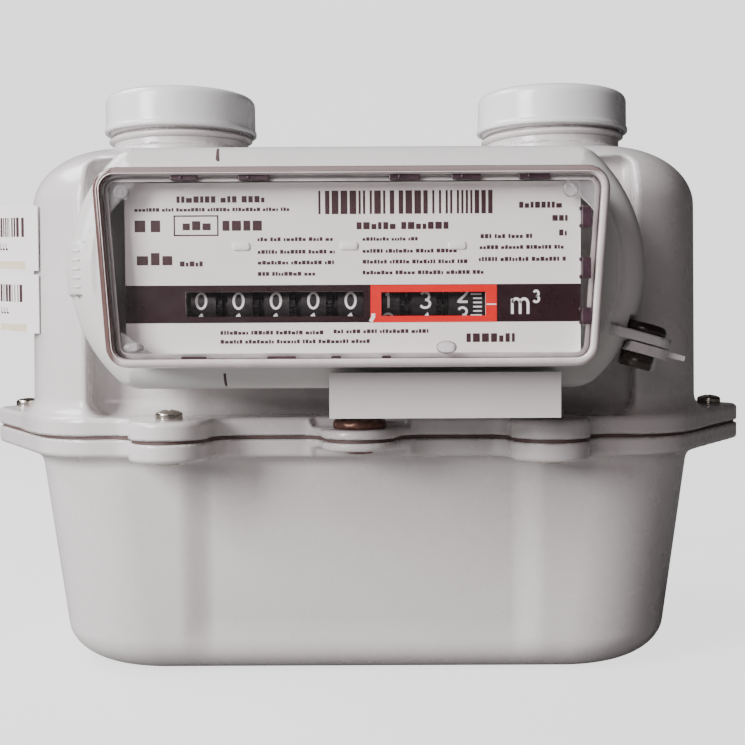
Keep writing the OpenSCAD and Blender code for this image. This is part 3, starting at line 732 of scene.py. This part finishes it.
def index_housing(x, y, z):
    shape = housing_outer(x, y, z)
    pad = meet(np.abs(z - 104.8) - 6.3, x + 63.2, 0.5)
    shape = np.minimum(shape, meet(shape - 0.55, np.maximum(pad, y + 60), 0.4))
    ex, ey, ez = ear_place(x, y, z)
    plate = np.hypot(np.maximum(ex - EAR_RIGHT + EAR_HALF_D, 0), ey) - EAR_HALF_D
    plate = meet(plate, (-ex - ey) / math.sqrt(2) - EAR_CHAMFER, 0.6)
    plate = meet(plate, -EAR_LEFT - ex, 0.3)
    shape = np.minimum(shape, meet(plate, np.abs(ez - EAR_GAP / 2 - EAR_T / 2) - EAR_T / 2, 0.35))
    plan = housing_plan(x, z)
    hollow = np.maximum(plan + HOUSING_WALL, np.maximum(HOUSING_FRONT + 3.2 - y, y - HOUSING_BACK + 2.5))
    opening = np.maximum(plan_box(x, z - COVER_Z, 46, 19, 3), y + 60)
    shape = meet(meet(shape, -hollow, 0.8), -opening, 0.5)
    hole = np.hypot(x - GLAND[0], z - GLAND[1]) - 6
    shape = meet(shape, -np.maximum(hole, -y - 50), 0.3)
    for centre, reach in ((32.4, -54.3), (50.0, -73.3)):
        axle = np.hypot(x - centre, z - COUNTER_Z) - 1.5
        shape = np.minimum(shape, meet(axle, np.maximum(reach - y, y + 43), 0.2))
    seal = np.hypot(ex - SEAL_X, ey)
    shape = meet(shape, -np.maximum(seal - 1.7, np.abs(ez) - 5), 0.15)
    head_room = np.abs(ez - EAR_GAP / 2 - EAR_T - 1.6) - 1.6
    return meet(shape, -np.maximum(seal - 5.8, head_room), 0.3)


def on_rim(x, z):
    """The housing's front surface at x, z."""
    low, high = HOUSING_FRONT - 2, HOUSING_BACK
    for _ in range(40):
        middle = (low + high) / 2
        if housing_outer(np.array(x), np.array(middle), np.array(z)) > 0:
            low = middle
        else:
            high = middle
    return high


def rim_bar(shape, start, end, width, height):
    """A bar that follows the housing's front surface from start to end."""
    rings = []
    across = np.array([end[1] - start[1], start[0] - end[0]], float)
    across *= width / 2 / np.linalg.norm(across)
    for t in np.linspace(0, 1, 9):
        x, z = np.array(start) + t * (np.array(end) - np.array(start))
        y = on_rim(x, z)
        lift = height * min(1, 6 * t + 0.2, 6 * (1 - t) + 0.2)
        rings.append(
            [
                (x - across[0], y + 0.5, z - across[1]),
                (x + across[0], y + 0.5, z + across[1]),
                (x + across[0], y - lift * 0.6, z + across[1]),
                (x, y - lift, z),
                (x - across[0], y - lift * 0.6, z - across[1]),
            ]
        )
    return shape.loft(rings)


# ---- clear cover


def cover_ring(inset, y, steps=7):
    """Points round the cover's outline, which narrows towards its foot."""
    half_h = COVER_HALF_H - COVER_CORNER_R
    r = max(COVER_CORNER_R - inset, 0.4)
    grow = COVER_CORNER_R - inset - r
    top = COVER_TOP_HALF_W - COVER_CORNER_R + grow
    foot = top - COVER_TAPER
    ring = []
    for cx, cz, start in (
        (top, half_h + grow, 0),
        (-top, half_h + grow, 90),
        (-foot, -half_h - grow, 180),
        (foot, -half_h - grow, 270),
    ):
        for px, pz in arc((cx, cz), (r, r), start, start + 90, steps):
            ring.append((px, y, COVER_Z + pz))
    return ring


def cover_shell(mats):
    levels = [(0, HOUSING_FRONT), (0, COVER_FRONT + 2.2)]
    for a in np.radians([30, 60, 90]):
        levels.append((1.6 * (1 - math.cos(a)), COVER_FRONT + 2.2 * (1 - math.sin(a))))
    wall = COVER_WALL
    back = [(wall + 1.2, COVER_FRONT + wall), (wall, COVER_FRONT + wall + 1.2), (wall, HOUSING_FRONT)]
    rings = [cover_ring(inset, y) for inset, y in levels + back]
    count = len(rings[0])
    points = [p for ring in rings for p in ring]
    outer, inside = (len(levels) - 1) * count, len(levels) * count
    faces = []
    for a in range(0, len(points), count):
        if a not in (outer, inside):
            faces += ring_faces(a, (a + count) % len(points), count)
    faces.append(tuple(outer + j for j in range(count)))
    faces.append(tuple(inside + j for j in reversed(range(count))))
    faces += ring_faces(inside, inside + count, count)
    shape = Shape().add(points, faces)
    piece = shape.piece("cover_shell", mats["clear"], "casing", "clear_cover", smooth=False)
    piece.data.materials.append(mats["clear_edge"])
    for polygon in piece.data.polygons:
        polygon.material_index = 0 if len(polygon.vertices) > 4 else 1
    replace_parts(piece, "index_cover")


def cover_rim(mats):
    """Rounded rim round the front."""
    profile = [(0.0, 3.4), (0.0, 1.4), (0.3, 0.6), (0.9, 0.1), (1.5, 0.05), (1.9, 0.5), (1.9, 3.4)]
    points = [p for inset, y in profile for p in cover_ring(inset, COVER_FRONT + y)]
    shape = Shape().wrap(points, len(points) // len(profile))
    shape.piece("cover_rim", mats["rim"], "casing", "clear_cover")


def cover_latches(mats):
    """Latches seen through the edge of the cover."""
    latches = Shape()
    front = COVER_FRONT + 1.2
    for x0, x1 in ((-39.5, -33.6), (-24.7, -17.9), (8.3, 15.0), (22.0, 28.3), (36.6, 43.4)):
        latches.box((x0, front, COVER_Z + 19), (x1, front + 1, COVER_Z + 20.3))
        latches.box((x0 + 2, front - 0.3, COVER_Z + 19.3), (x0 + 2.6, front, COVER_Z + 20))
    for x0, x1 in ((-37.6, -32.1), (-18.7, -12.4), (-4.7, -2.5), (6.5, 8.5)):
        latches.box((x0, front, COVER_Z - 20.5), (x1, front + 1, COVER_Z - 19.5))
    for z0, z1 in ((91.1, 94.8), (101.1, 105.7), (112.2, 116.8)):
        latches.box((50.4, front, z0), (52.4, front + 1, z1))
        latches.box((49.8, front + 0.2, z0), (50.4, front + 1, z0 + 0.8))
        latches.box((49.8, front + 0.2, z1 - 0.8), (50.4, front + 1, z1))
    soften(latches.piece("cover_latches", mats["slot_dark"], "casing", "dark_seal", smooth=False), 0.2)


def cover_webs(mats):
    """Webs across three corners, each a triangle of (x, z)."""
    webs = Shape()
    for corner in (
        [(-53.6, 123.2), (-46.8, 123.2), (-53.4, 115.8)],
        [(53.6, 123.2), (46.8, 123.2), (53.4, 115.8)],
        [(-51.4, 84.6), (-51.6, 90.4), (-43.4, 84.6)],
    ):
        webs.loft([[(x, COVER_FRONT + depth, z) for x, z in corner] for depth in (2.4, 3.6)])
    soften(webs.piece("cover_webs", mats["clear_web"], "casing", "clear_cover", smooth=False), 0.3)


def cover_bosses(mats):
    """Round bosses at the top and flat bumps at the foot of the cover."""
    bosses = Shape()
    front_turn = Matrix.Rotation(math.radians(90), 3, "X")
    boss = [(0, 0), (1.7, 0), (1.7, 1.3), (1.3, 1.7), (0.9, 1.3), (0.4, 1.5), (0, 1.5)]
    for x, z in ((-50.6, 120.6), (48.2, 120.8)):
        lathe(bosses, boss, (x, COVER_FRONT + 3.8, z), 28, front_turn)
    turns = np.linspace(0, 2 * math.pi, 24, False)
    for x, z, w, h in ((-47.9, 86.4, 2.3, 1.1), (20.7, 86.2, 2.3, 1.5)):
        rings = []
        for level, depth in ((1, 0.9), (0.95, 0.4), (0.75, 0.1), (0.4, -0.02)):
            y = COVER_FRONT + 0.25 + depth
            rings.append(
                [(x + w * level * math.cos(a), y, z + h * level * math.sin(a)) for a in turns]
            )
        bosses.loft(rings)
    bosses.piece("cover_bosses", mats["clear_web"], "casing", "clear_cover")


def label_lozenges(mats):
    """Three low bumps on the label."""
    lozenges = Shape()
    for x in (-24.9, -0.8, 23.3):
        rings = []
        for inset, lift in ((0, 0), (0.08, -0.25), (0.4, -0.34)):
            half_w, half_h, r = 2.05 - inset, 0.95 - inset, 0.6 - inset / 2
            y = LABEL_FRONT + 0.02 + lift
            ring = []
            for cx, cz, start in ((1, 1, 0), (-1, 1, 90), (-1, -1, 180), (1, -1, 270)):
                centre = (x + cx * (half_w - r), COVER_Z + 4.9 + cz * (half_h - r))
                ring += [(px, y, pz) for px, pz in arc(centre, (r, r), start, start + 90, 4)]
            rings.append(ring)
        lozenges.loft(rings)
    lozenges.piece("label_lozenges", mats["label_card"], "casing", "label_card")


def clear_cover(mats):
    for build in (cover_shell, cover_rim, cover_latches, cover_webs, cover_bosses, label_lozenges):
        build(mats)


# ---- label and counter

GLYPHS = {
    0: [arc((0, 0), (1, 1), 90, 450, 26)],
    1: [[(-0.45, 0.62), (0.1, 1.0), (0.1, -1.0)]],
    2: [arc((0, 0.42), (0.95, 0.58), 168, -38, 14) + [(-0.98, -1.0), (1.0, -1.0)]],
    3: [arc((-0.05, 0.5), (0.85, 0.5), 155, -90, 14), arc((-0.05, -0.48), (1.0, 0.52), 90, -155, 14)],
    4: [[(0.45, -1.0), (0.45, 1.0), (-1.0, -0.42), (1.0, -0.42)]],
    5: [[(0.85, 1.0), (-0.7, 1.0), (-0.82, 0.06)] + arc((-0.05, -0.36), (1.0, 0.64), 136, -152, 14)],
    6: [arc((0, -0.4), (0.98, 0.6), 0, 360, 22), arc((0.95, -0.4), (1.93, 1.4), 180, 112, 9)],
    7: [[(-0.95, 1.0), (0.98, 1.0), (-0.25, -1.0)]],
    8: [arc((0, 0.5), (0.8, 0.5), 0, 360, 20), arc((0, -0.48), (1.0, 0.52), 0, 360, 22)],
    9: [arc((0, 0.4), (0.98, 0.6), 0, 360, 22), arc((-0.95, 0.4), (1.93, 1.4), 0, -68, 9)],
    "m": [
        [(-1.0, -1.0), (-1.0, 1.0)],
        [(-1.0, 0.5)] + arc((-0.5, 0.4), (0.5, 0.6), 170, 0, 8) + [(0.0, -1.0)],
        [(0.0, 0.5)] + arc((0.5, 0.4), (0.5, 0.6), 170, 0, 8) + [(1.0, -1.0)],
    ],
    ",": [[(0.35, 0.9), (0.35, 0.1), (-0.7, -1.0)]],
}


def stroke(shape, line, half_width, place):
    """A flat ribbon along a line; place(u, v, lift) gives a point in space."""
    line = np.array(line, float)
    fine = [line[0]]
    for a, b in zip(line[:-1], line[1:]):
        parts = max(1, int(np.linalg.norm(b - a) / 0.35))
        fine += [a + (b - a) * t for t in np.linspace(0, 1, parts + 1)[1:]]
    fine = np.array(fine)
    step = np.gradient(fine, axis=0)
    step[0], step[-1] = fine[1] - fine[0], fine[-1] - fine[-2]
    step /= np.maximum(np.linalg.norm(step, axis=1, keepdims=True), 1e-9)
    side = np.stack([-step[:, 1], step[:, 0]], -1) * half_width
    rings = []
    for p, s in zip(fine, side):
        rings.append([place(*(p - s), 0), place(*(p + s), 0), place(*(p + s), 0.035), place(*(p - s), 0.035)])
    shape.loft(rings)


def glyph(shape, key, centre, half_size, half_width, place):
    for line in GLYPHS[key]:
        stroke(
            shape,
            [(centre[0] + u * half_size[0], centre[1] + v * half_size[1]) for u, v in line],
            half_width,
            place,
        )


def on_wheel(x0):
    """Places a point that is u across and v round the rim of a wheel."""

    def place(u, v, lift):
        r = WHEEL_R + 0.01 + lift
        a = v / WHEEL_R
        return (x0 + u, COUNTER_Y - r * math.cos(a), COUNTER_Z + r * math.sin(a))

    return place


def on_label(depth):
    def place(u, v, lift):
        return (u, LABEL_FRONT - depth - lift, v)

    return place


def number_wheels(mats):
    pitch = WHEEL_R * math.radians(DIGIT_TURN)
    for k in range(1, WHEEL_COUNT + 1):
        last = k == WHEEL_COUNT
        shape = Shape()
        place = on_wheel(DIGIT_X + (k - 1) * DIGIT_PITCH)
        offset = 0.0 if last else WHEEL_R * math.radians(8.3)
        for digit in range(10):
            centre = (0, offset + pitch * (READING[k - 1] - digit))
            glyph(shape, digit, centre, (DIGIT_HALF_W, DIGIT_HALF_H), 0.27, place)
        if last:
            for i in range(50):
                v = pitch * (i / 5 + 0.5)
                start = 1.8 if i % 5 == 0 else 2.35
                stroke(shape, [(start, v), (4.3, v)], 0.18, place)
        body = "counter_drive" if last else f"wheel_{k}"
        shape.piece(f"digits_{k}", mats["white_print"], body, "wheel_plastic", smooth=False)


def sheet_with_holes(shape, x_range, z_range, holes, front, thickness):
    """A flat sheet cut into boxes round rectangular holes, given as (x0, x1, z0, z1)."""
    xs = sorted({*x_range, *(v for h in holes for v in h[:2])})
    for x0, x1 in zip(xs[:-1], xs[1:]):
        middle = (x0 + x1) / 2
        zs = [z_range[0]]
        for h in sorted(h for h in holes if h[0] < middle < h[1]):
            zs += [h[2], h[3]]
        zs.append(z_range[1])
        for z0, z1 in zip(zs[::2], zs[1::2]):
            shape.box((x0, front, z0), (x1, front + thickness, z1))
    return shape


def blocks(shape, x_range, z_range, seed, front, thickness=INK_T):
    """A row of plain solid blocks in groups that fills the place of a printed line."""
    pick = np.random.default_rng(seed)
    height = z_range[1] - z_range[0]
    x = x_range[0]
    left = pick.integers(3, 9)
    while x < x_range[1] - height * 0.2:
        if left == 0:
            x += height * 0.4
            left = pick.integers(3, 9)
            continue
        end = min(x + height * pick.choice([0.36, 0.5, 0.58, 0.66]), x_range[1])
        high = z_range[1] - height * pick.choice([0.14, 0.14, 0.32])
        shape.box((x, front - thickness, z_range[0] + height * 0.14), (end, front, high))
        x = end + height * 0.17
        left -= 1
    return shape


def bars(shape, x_range, z_range, seed, front, thickness=INK_T):
    """A bar pattern with random widths."""
    pick = np.random.default_rng(seed)
    unit = (x_range[1] - x_range[0]) / 78
    x = x_range[0]
    while x < x_range[1]:
        width = unit * pick.choice([1, 1, 2, 3])
        end = min(x + width, x_range[1])
        shape.box((x, front - thickness, z_range[0]), (end, front, z_range[1]))
        x = end + unit * pick.choice([1, 1, 2])
    return shape


def label_print(mats):
    front = LABEL_FRONT - 0.01
    ink = Shape()
    rows = [
        ((-39.2, -19.6), (14.4, 16.4)),
        ((-48.6, -13.8), (12.6, 13.7)),
        ((-48.6, -46.0), (7.7, 11.3)),
        ((-45.0, -42.4), (7.7, 11.3)),
        ((-37.9, -31.6), (8.2, 11.0)),
        ((-29.0, -19.6), (8.0, 11.1)),
        ((-48.2, -39.6), (0.3, 4.1)),
        ((-38.6, -33.5), (0.3, 1.9)),
        ((-21.2, -4.4), (5.9, 7.1)),
        ((-21.2, -4.0), (3.1, 4.3)),
        ((-21.2, -4.2), (0.7, 1.9)),
        ((-21.2, -7.6), (-1.8, -0.6)),
        ((2.2, 14.7), (5.9, 7.0)),
        ((2.2, 23.6), (3.2, 4.4)),
        ((2.2, 25.9), (0.8, 2.0)),
        ((2.2, 29.3), (-1.6, -0.4)),
        ((0.9, 22.5), (8.3, 10.5)),
        ((37.1, 48.0), (12.9, 14.8)),
        ((44.5, 47.9), (10.0, 11.8)),
        ((46.0, 47.7), (6.7, 8.6)),
        ((28.5, 40.1), (6.3, 7.6)),
        ((28.3, 47.0), (3.9, 5.1)),
        ((28.1, 47.5), (1.2, 2.5)),
        ((-29.7, -6.6), (-14.9, -13.7)),
        ((-4.4, 16.8), (-14.7, -13.5)),
        ((-29.7, 4.5), (-16.9, -15.7)),
        ((25.3, 36.1), (-17.0, -14.3)),
    ]
    for seed, (x_range, z_range) in enumerate(rows):
        blocks(ink, x_range, (COVER_Z + z_range[0], COVER_Z + z_range[1]), seed + 3, front)
    bars(ink, (-7.6, 31.2), (COVER_Z + 12.0, COVER_Z + 17.2), 77, front)
    frame = (-39.9, -29.9), (COVER_Z + 7.3, COVER_Z + 11.9)
    line = 0.3
    for x0, x1, z0, z1 in (
        (frame[0][0], frame[0][1], frame[1][1] - line, frame[1][1]),
        (frame[0][0], frame[0][1], frame[1][0], frame[1][0] + line),
        (frame[0][0], frame[0][0] + line, frame[1][0], frame[1][1]),
        (frame[0][1] - line, frame[0][1], frame[1][0], frame[1][1]),
    ):
        ink.box((x0, front - INK_T, z0), (x1, front, z1))
    ink.piece("label_print", mats["print"], "casing", "label_card", smooth=False)

    low, high = COUNTER_Z - WINDOW_HALF_H, COUNTER_Z + WINDOW_HALF_H
    strip = Shape()
    holes = [(*WINDOWS[0], low + 0.5, high), (*WINDOWS[1], low + 0.5, high - 0.2)]
    strip_x, strip_foot = (-LABEL_HALF_W, LABEL_HALF_W), COUNTER_Z - 3.9
    sheet_with_holes(strip, strip_x, (strip_foot, COUNTER_Z + 4.5), holes, LABEL_FRONT - 0.05, 0.06)
    strip.piece("counter_strip", mats["strip"], "casing", "label_card", smooth=False)
    red = Shape()
    sheet_with_holes(red, (3.9, 32.1), (strip_foot, COUNTER_Z + 4.4), holes[1:], LABEL_FRONT - 0.11, 0.06)
    red.piece("red_frame", mats["red"], "casing", "label_card", smooth=False)

    white = Shape()
    place = on_label(0.12)
    stroke(white, [(29.8, COUNTER_Z), (32.0, COUNTER_Z)], 0.14, place)
    glyph(white, "m", (37.3, COUNTER_Z - 0.5), (1.75, 1.7), 0.3, place)
    glyph(white, 3, (40.9, COUNTER_Z + 1.7), (0.62, 1.25), 0.26, place)
    glyph(white, ",", (4.3, COUNTER_Z - 2.8), (0.6, 0.95), 0.42, place)
    white.piece("white_print", mats["white_print"], "casing", "label_card", smooth=False)


# ---- small parts


def flange_screws(mats):
    """Pan-head screws with a cross recess, and nuts."""
    shape = Shape()
    under = LOWER_FLANGE[0]
    top = UPPER_FLANGE[1]

    def head(x, y, z):
        r = np.hypot(x, y)
        dome = meet(r - 3.4, np.hypot(r, z + 4.6) - 7.2, 0.35)
        dome = meet(dome, -z, 0.2)
        cross = np.minimum(
            np.maximum(np.abs(x) - 0.4, np.abs(y) - 1.9), np.maximum(np.abs(y) - 0.4, np.abs(x) - 1.9)
        )
        return meet(dome, -np.maximum(cross, 1.3 - z), 0.15)

    points, faces, normals = surface_net(head, (-4, -4, -0.6), (4, 4, 3.2), (0.22, 0.22, 0.22))
    all_points, all_faces, all_normals = [], [], []
    places = [(sx * SCREWS[0][0], sy * SCREWS[0][1]) for sx in (-1, 1) for sy in (-1, 1)]
    places += [(s * SCREWS[1][0], 0) for s in (-1, 1)] + [(0, CENTRE_LOBE_Y)]
    for i, (x, y) in enumerate(places):
        turn = math.radians(23 + 51 * i)
        cosine, sine = math.cos(turn), math.sin(turn)
        spin = np.array([[cosine, -sine, 0], [sine, cosine, 0], [0, 0, 1]])
        first = len(all_points) * len(points)
        all_points.append(points @ spin.T + (x, y, top))
        all_normals.append(normals @ spin.T)
        all_faces += [[first + v for v in face] for face in faces]
        profile = [(0, under - 0.7), (1.9, under - 0.7), (2.1, under - 0.9), (4.1, under - 0.9)]
        profile += [(4.4, under - 0.6), (4.4, under), (2.0, under), (2.0, top), (0, top)]
        lathe(shape, profile, (x, y, 0), 48)
    heads = mesh_piece(
        "screw_heads", np.concatenate(all_points), all_faces, mats["plated_screws"], "casing",
        normals=np.concatenate(all_normals),
    )
    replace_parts(heads, "flange_screws")
    soften(shape.piece("screw_shanks", mats["plated_screws"], "casing", "plated_screws", smooth=False), 0.12)


def casing_seal(mats):
    """Crimped metal disc over the sealing screw, with its stub under the flange."""
    foot, top = SEAL_LUG
    centre = (0, -CENTRE_LOBE_Y, 0)
    shape = Shape()
    steps = 96
    profile = [
        (0.0, 0), (6.3, 0), (6.75, 0.5), (6.7, 1.4), (6.3, 2.1), (5.7, 2.2), (5.2, 1.75),
        (4.4, 1.6), (3.6, 1.7), (3.2, 1.95), (2.2, 1.95), (1.8, 1.75), (0.9, 1.7), (0.0, 1.75),
    ]
    points, faces = [], []
    count = len(profile)
    for i in range(steps):
        a = 2 * math.pi * i / steps
        for j, (r, h) in enumerate(profile):
            crimp = 0.12 * math.sin(11 * a + 0.7) * (r > 5) + 0.18 * math.sin(5 * a + r * 2.1) * (1 < r < 4.6)
            x = centre[0] + (r - 0.4 * abs(crimp) * (r > 5)) * math.cos(a)
            lift = crimp if h > 0 else 0
            points.append((x, centre[1] + r * math.sin(a), top + h + lift))
    for i in range(steps):
        k = (i + 1) % steps
        faces += ring_faces(i * count, k * count, count)
    shape.add(points, faces)
    lathe(
        shape,
        [(0, foot - 1), (3.2, foot - 1), (3.5, foot - 0.7), (3.5, foot), (2, foot), (2, top), (0, top)],
        centre,
        40,
    )
    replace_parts(shape.piece("seal_disc", mats["seal_wax"], "casing", "seal_wax"), "casing_seal")


def dust_caps(mats):
    foot, top = CAP_FOOT, CAP_TOP
    inner = THREAD_R + 0.15
    profile = [(inner, foot), (22.0, foot), (22.2, foot + 0.25), (22.2, foot + 1.1), (22.02, foot + 1.35)]
    profile += [(21.85 - 0.01 * i, foot + 1.7 + 0.9 * i) for i in range(7)]
    for a in np.radians(range(0, 91, 15)):
        profile.append((18.9 + 2.9 * math.cos(a), top - 2.6 + 2.6 * math.sin(a)))
    profile += [(17.0, top), (16.6, top - 0.35), (1.2, top - 0.35), (0.8, top - 0.1), (0, top - 0.1)]
    profile += [(0, top - 1.8), (inner, top - 1.8)]
    for name, side in (("inlet_cap", -1), ("outlet_cap", 1)):
        shape = Shape()
        lathe(shape, profile, (side * PORT_X, 0, 0), 128)
        piece = shape.piece(name + "_shell", mats["cap_plastic"], name + "_body", "cap_plastic")
        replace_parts(piece, name)


def index_seal(mats):
    turn = Matrix.Rotation(EAR_TILT, 3, "Y")
    top = EAR_GAP / 2 + EAR_T
    under = -EAR_GAP / 2 - BRACKET_T
    profile = [(0, under - 3.4), (3.6, under - 3.4), (4, under - 3), (4, under), (1.5, under), (1.5, top)]
    profile += [(5.2, top), (5.4, top + 0.3), (5.35, top + 1.3), (4.9, top + 2.1), (4.3, top + 2.4)]
    profile += [(3.8, top + 2.0), (2.0, top + 1.9), (1.5, top + 2.3), (0, top + 2.4)]
    shape = lathe(Shape(), profile, Vector(EAR) + turn @ Vector((SEAL_X, 0, 0)), 72, turn)
    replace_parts(shape.piece("seal_plug", mats["dark_seal"], "casing", "dark_seal"), "index_seal")


def side_stickers(mats):
    """Two paper labels stuck to the casing's corner, free at the left, with bars and a tan strip."""
    start = np.array([-99.4, -31.3])
    length = 16.9
    fold = 12.2
    along = np.array([math.cos(math.radians(-35)), math.sin(math.radians(-35))])
    out = np.array([along[1], -along[0]])

    def place(s, z, lift):
        curl = 0.5 * math.sin(math.pi * min(s / fold, 1)) - 0.5 * (1 - min(s / fold, 1)) ** 3
        x, y = start + along * s + out * (curl + lift)
        return (x, y, z + 0.05 * (fold - s))

    def patch(shape, s_range, z_range, lift, thickness, parts=12):
        rings = []
        for s in np.linspace(*s_range, parts + 1):
            rings.append(
                [
                    place(s, z_range[0], lift),
                    place(s, z_range[1], lift),
                    place(s, z_range[1], lift + thickness),
                    place(s, z_range[0], lift + thickness),
                ]
            )
        shape.loft(rings)

    paper, ink, tan = Shape(), Shape(), Shape()
    pick = np.random.default_rng(11)
    for foot, height in ((106.6, 17.2), (90.0, 15.6)):
        patch(paper, (0, length), (foot, foot + height), 0, 0.3)
        s = 0.3
        while s < fold - 1.2:
            width = pick.choice([0.3, 0.3, 0.6, 1.0])
            bar = (foot + 0.52 * height, foot + 0.82 * height)
            patch(ink, (s, min(s + width, fold - 0.6)), bar, 0.3, 0.02, 1)
            s += width + pick.choice([0.4, 0.5, 0.9])
        for i in range(3):
            s = 0.5 + 1.6 * i
            patch(ink, (s, s + 0.3), (foot + 0.31 * height, foot + 0.42 * height), 0.3, 0.02, 1)
            patch(ink, (s, s + 1.0), (foot + 0.31 * height, foot + 0.34 * height), 0.3, 0.02, 1)
        patch(tan, (0.05, fold), (foot + 0.02 * height, foot + 0.14 * height), 0.3, 0.02)
        patch(ink, (fold, fold + 0.12), (foot + 0.1, foot + height - 0.1), 0.28, 0.02, 1)
    piece = paper.piece("stickers", mats["sticker_paper"], "casing", "sticker_paper", smooth=False)
    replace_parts(piece, "side_labels")
    ink.piece("sticker_print", mats["print"], "casing", "sticker_paper", smooth=False)
    tan.piece("sticker_strip", mats["tan"], "casing", "sticker_paper", smooth=False)


def cad_finishes(frame, mats):
    """Gives every CAD node that is still shown its slot's finish and small edge rounds."""
    slots = {s["node"]: s["material_slot"] for s in frame["record"]["subparts"]}
    fine = {
        "drive_pinion", "crown_gear", "output_gear", "idler_gear", "input_gear", "worm_wheel", "crank",
    }
    for name, piece in frame["nodes"].items():
        if piece.hide_render:
            continue
        slot = slots[name]
        piece.data.materials.clear()
        piece.data.materials.append(mats[slot])
        width = 0.7 if name == "pulse_module" else 0.12 if name in fine or "_pinion_" in name else 0.25
        if name != "casing_gasket":
            soften(piece, width, 3 if name == "pulse_module" else 2)


# ---- stage


def light(name, place, target, size, power, colour=(1, 1, 1)):
    data = bpy.data.lights.new(name, "AREA")
    data.shape = "RECTANGLE"
    data.size, data.size_y = size
    data.energy = power
    data.color = colour
    lamp = bpy.data.objects.new(name, data)
    bpy.context.scene.collection.objects.link(lamp)
    lamp.location = place
    lamp.rotation_euler = (Vector(target) - Vector(place)).to_track_quat("-Z", "Y").to_euler()
    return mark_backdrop(lamp)


def stage():
    """Plain pale floor that runs up into a pale backdrop, and soft studio light."""
    half, back, r = 3.0, 1.6, 0.8
    side = [(-2.5, 0.0), (back - r, 0.0)]
    side += [(back - r + r * math.sin(a), r - r * math.cos(a)) for a in np.linspace(0.1, math.pi / 2, 14)]
    side.append((back, 3.0))
    points = [(x, y, z) for y, z in side for x in (-half, half)]
    faces = [(2 * i, 2 * i + 1, 2 * i + 3, 2 * i + 2) for i in range(len(side) - 1)]
    floor = bpy.data.meshes.new("floor")
    floor.from_pydata(points, [], faces)
    floor.polygons.foreach_set("use_smooth", [True] * len(faces))
    n = Nodes("floor")
    shade_part = n.add("ShaderNodeBsdfPrincipled")
    n.link(
        n.mix(n.span(n.noise(60, 3), 0, 1), linear((134, 133, 132)), linear((128, 127, 126))),
        shade_part.inputs["Base Color"],
    )
    shade_part.inputs["Roughness"].default_value = 0.85
    glow = n.add("ShaderNodeEmission")
    glow.inputs["Color"].default_value = (1, 1, 1, 1)
    rays = n.add("ShaderNodeLightPath")
    lift = n.add("ShaderNodeMath", operation="MULTIPLY")
    lift.inputs[1].default_value = FLOOR_LIFT
    n.link(rays.outputs["Is Camera Ray"], lift.inputs[0])
    n.link(lift.outputs[0], glow.inputs["Strength"])
    both = n.add("ShaderNodeAddShader")
    n.link(shade_part.outputs[0], both.inputs[0])
    n.link(glow.outputs[0], both.inputs[1])
    floor.materials.append(n.output(both.outputs[0]))
    plane = bpy.data.objects.new("floor", floor)
    bpy.context.scene.collection.objects.link(plane)

    world = bpy.data.worlds.new("studio")
    bpy.context.scene.world = world
    world.use_nodes = True
    around = world.node_tree.nodes["Background"]
    around.inputs["Color"].default_value = (0.92, 0.96, 1.0, 1)
    around.inputs["Strength"].default_value = 0.02

    light("key", (-0.85, -0.85, 0.62), (0, -0.03, 0.08), (0.45, 0.8), 34.0, (1, 0.975, 0.98))
    light("front", (-0.3, -1.2, 0.5), (0, -0.05, 0.06), (0.5, 0.3), 2.5, (1, 0.84, 0.86))
    light("top", (-0.6, 0.1, 0.8), (0, 0, 0.1), (0.5, 0.4), 9.0, (0.98, 0.99, 1))


def camera():
    data = bpy.data.cameras.new("camera")
    data.sensor_width = 36
    data.lens = 58.385
    data.shift_x = -0.0457
    data.shift_y = 0.01025
    data.clip_start = 0.01
    eye = bpy.data.objects.new("camera", data)
    bpy.context.scene.collection.objects.link(eye)
    pitch, yaw, roll = 0.037377, 0.003441, 0.0049645
    turn = (
        Matrix.Rotation(yaw, 4, "Z")
        @ Matrix.Rotation(math.pi / 2 - pitch, 4, "X")
        @ Matrix.Rotation(-roll, 4, "Z")
    )
    eye.matrix_world = Matrix.Translation((0.012795, -0.361803, 0.088928)) @ turn
    bpy.context.scene.camera = eye


# ---- the meter


def main():
    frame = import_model()
    mats = materials()

    coarse = 1.1
    grid = (coarse, coarse, coarse * 0.8)
    points, faces, normals = surface_net(lower_casing, (-115, -75, -2), (115, 75, 65), grid)
    piece = mesh_piece(
        "casing_foot", points, faces, mats["casing_paint"], "casing", normals=normals
    )
    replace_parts(piece, "lower_casing")
    points, faces, normals = surface_net(upper_casing, (-115, -75, 61), (115, 75, 158), grid)
    piece = mesh_piece(
        "casing_head", points, faces, mats["casing_paint"], "casing", normals=normals
    )
    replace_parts(piece, "upper_casing")
    port_thread(mats["casing_paint"])

    grid = (0.8 * coarse / 1.1,) * 3
    points, faces, normals = surface_net(index_housing, (-72, -80, 74), (81, -40, 136), grid)
    piece = mesh_piece(
        "index_case", points, faces, mats["index_plastic"], "casing", normals=normals
    )
    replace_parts(piece, "index_housing")
    marks = Shape()
    rim_bar(marks, (-32.1, 129.7), (-32.6, 133.1), 0.9, 0.04)
    rim_bar(marks, (-31.0, 80.1), (-31.0, 76.9), 0.6, 0.04)
    marks.piece("rim_marks", mats["mark"], "casing", "index_plastic", smooth=False)
    ribs = Shape()
    for i in range(5):
        z = 100.6 + 2.1 * i
        rim_bar(ribs, (-67.6, z), (-64.2, z), 0.8, 0.95)
    ribs.piece("grip_ribs", mats["index_plastic"], "casing", "index_plastic")

    clear_cover(mats)
    label_print(mats)
    number_wheels(mats)
    dust_caps(mats)
    flange_screws(mats)
    casing_seal(mats)
    index_seal(mats)
    side_stickers(mats)
    cad_finishes(frame, mats)
    stage()
    camera()


main()
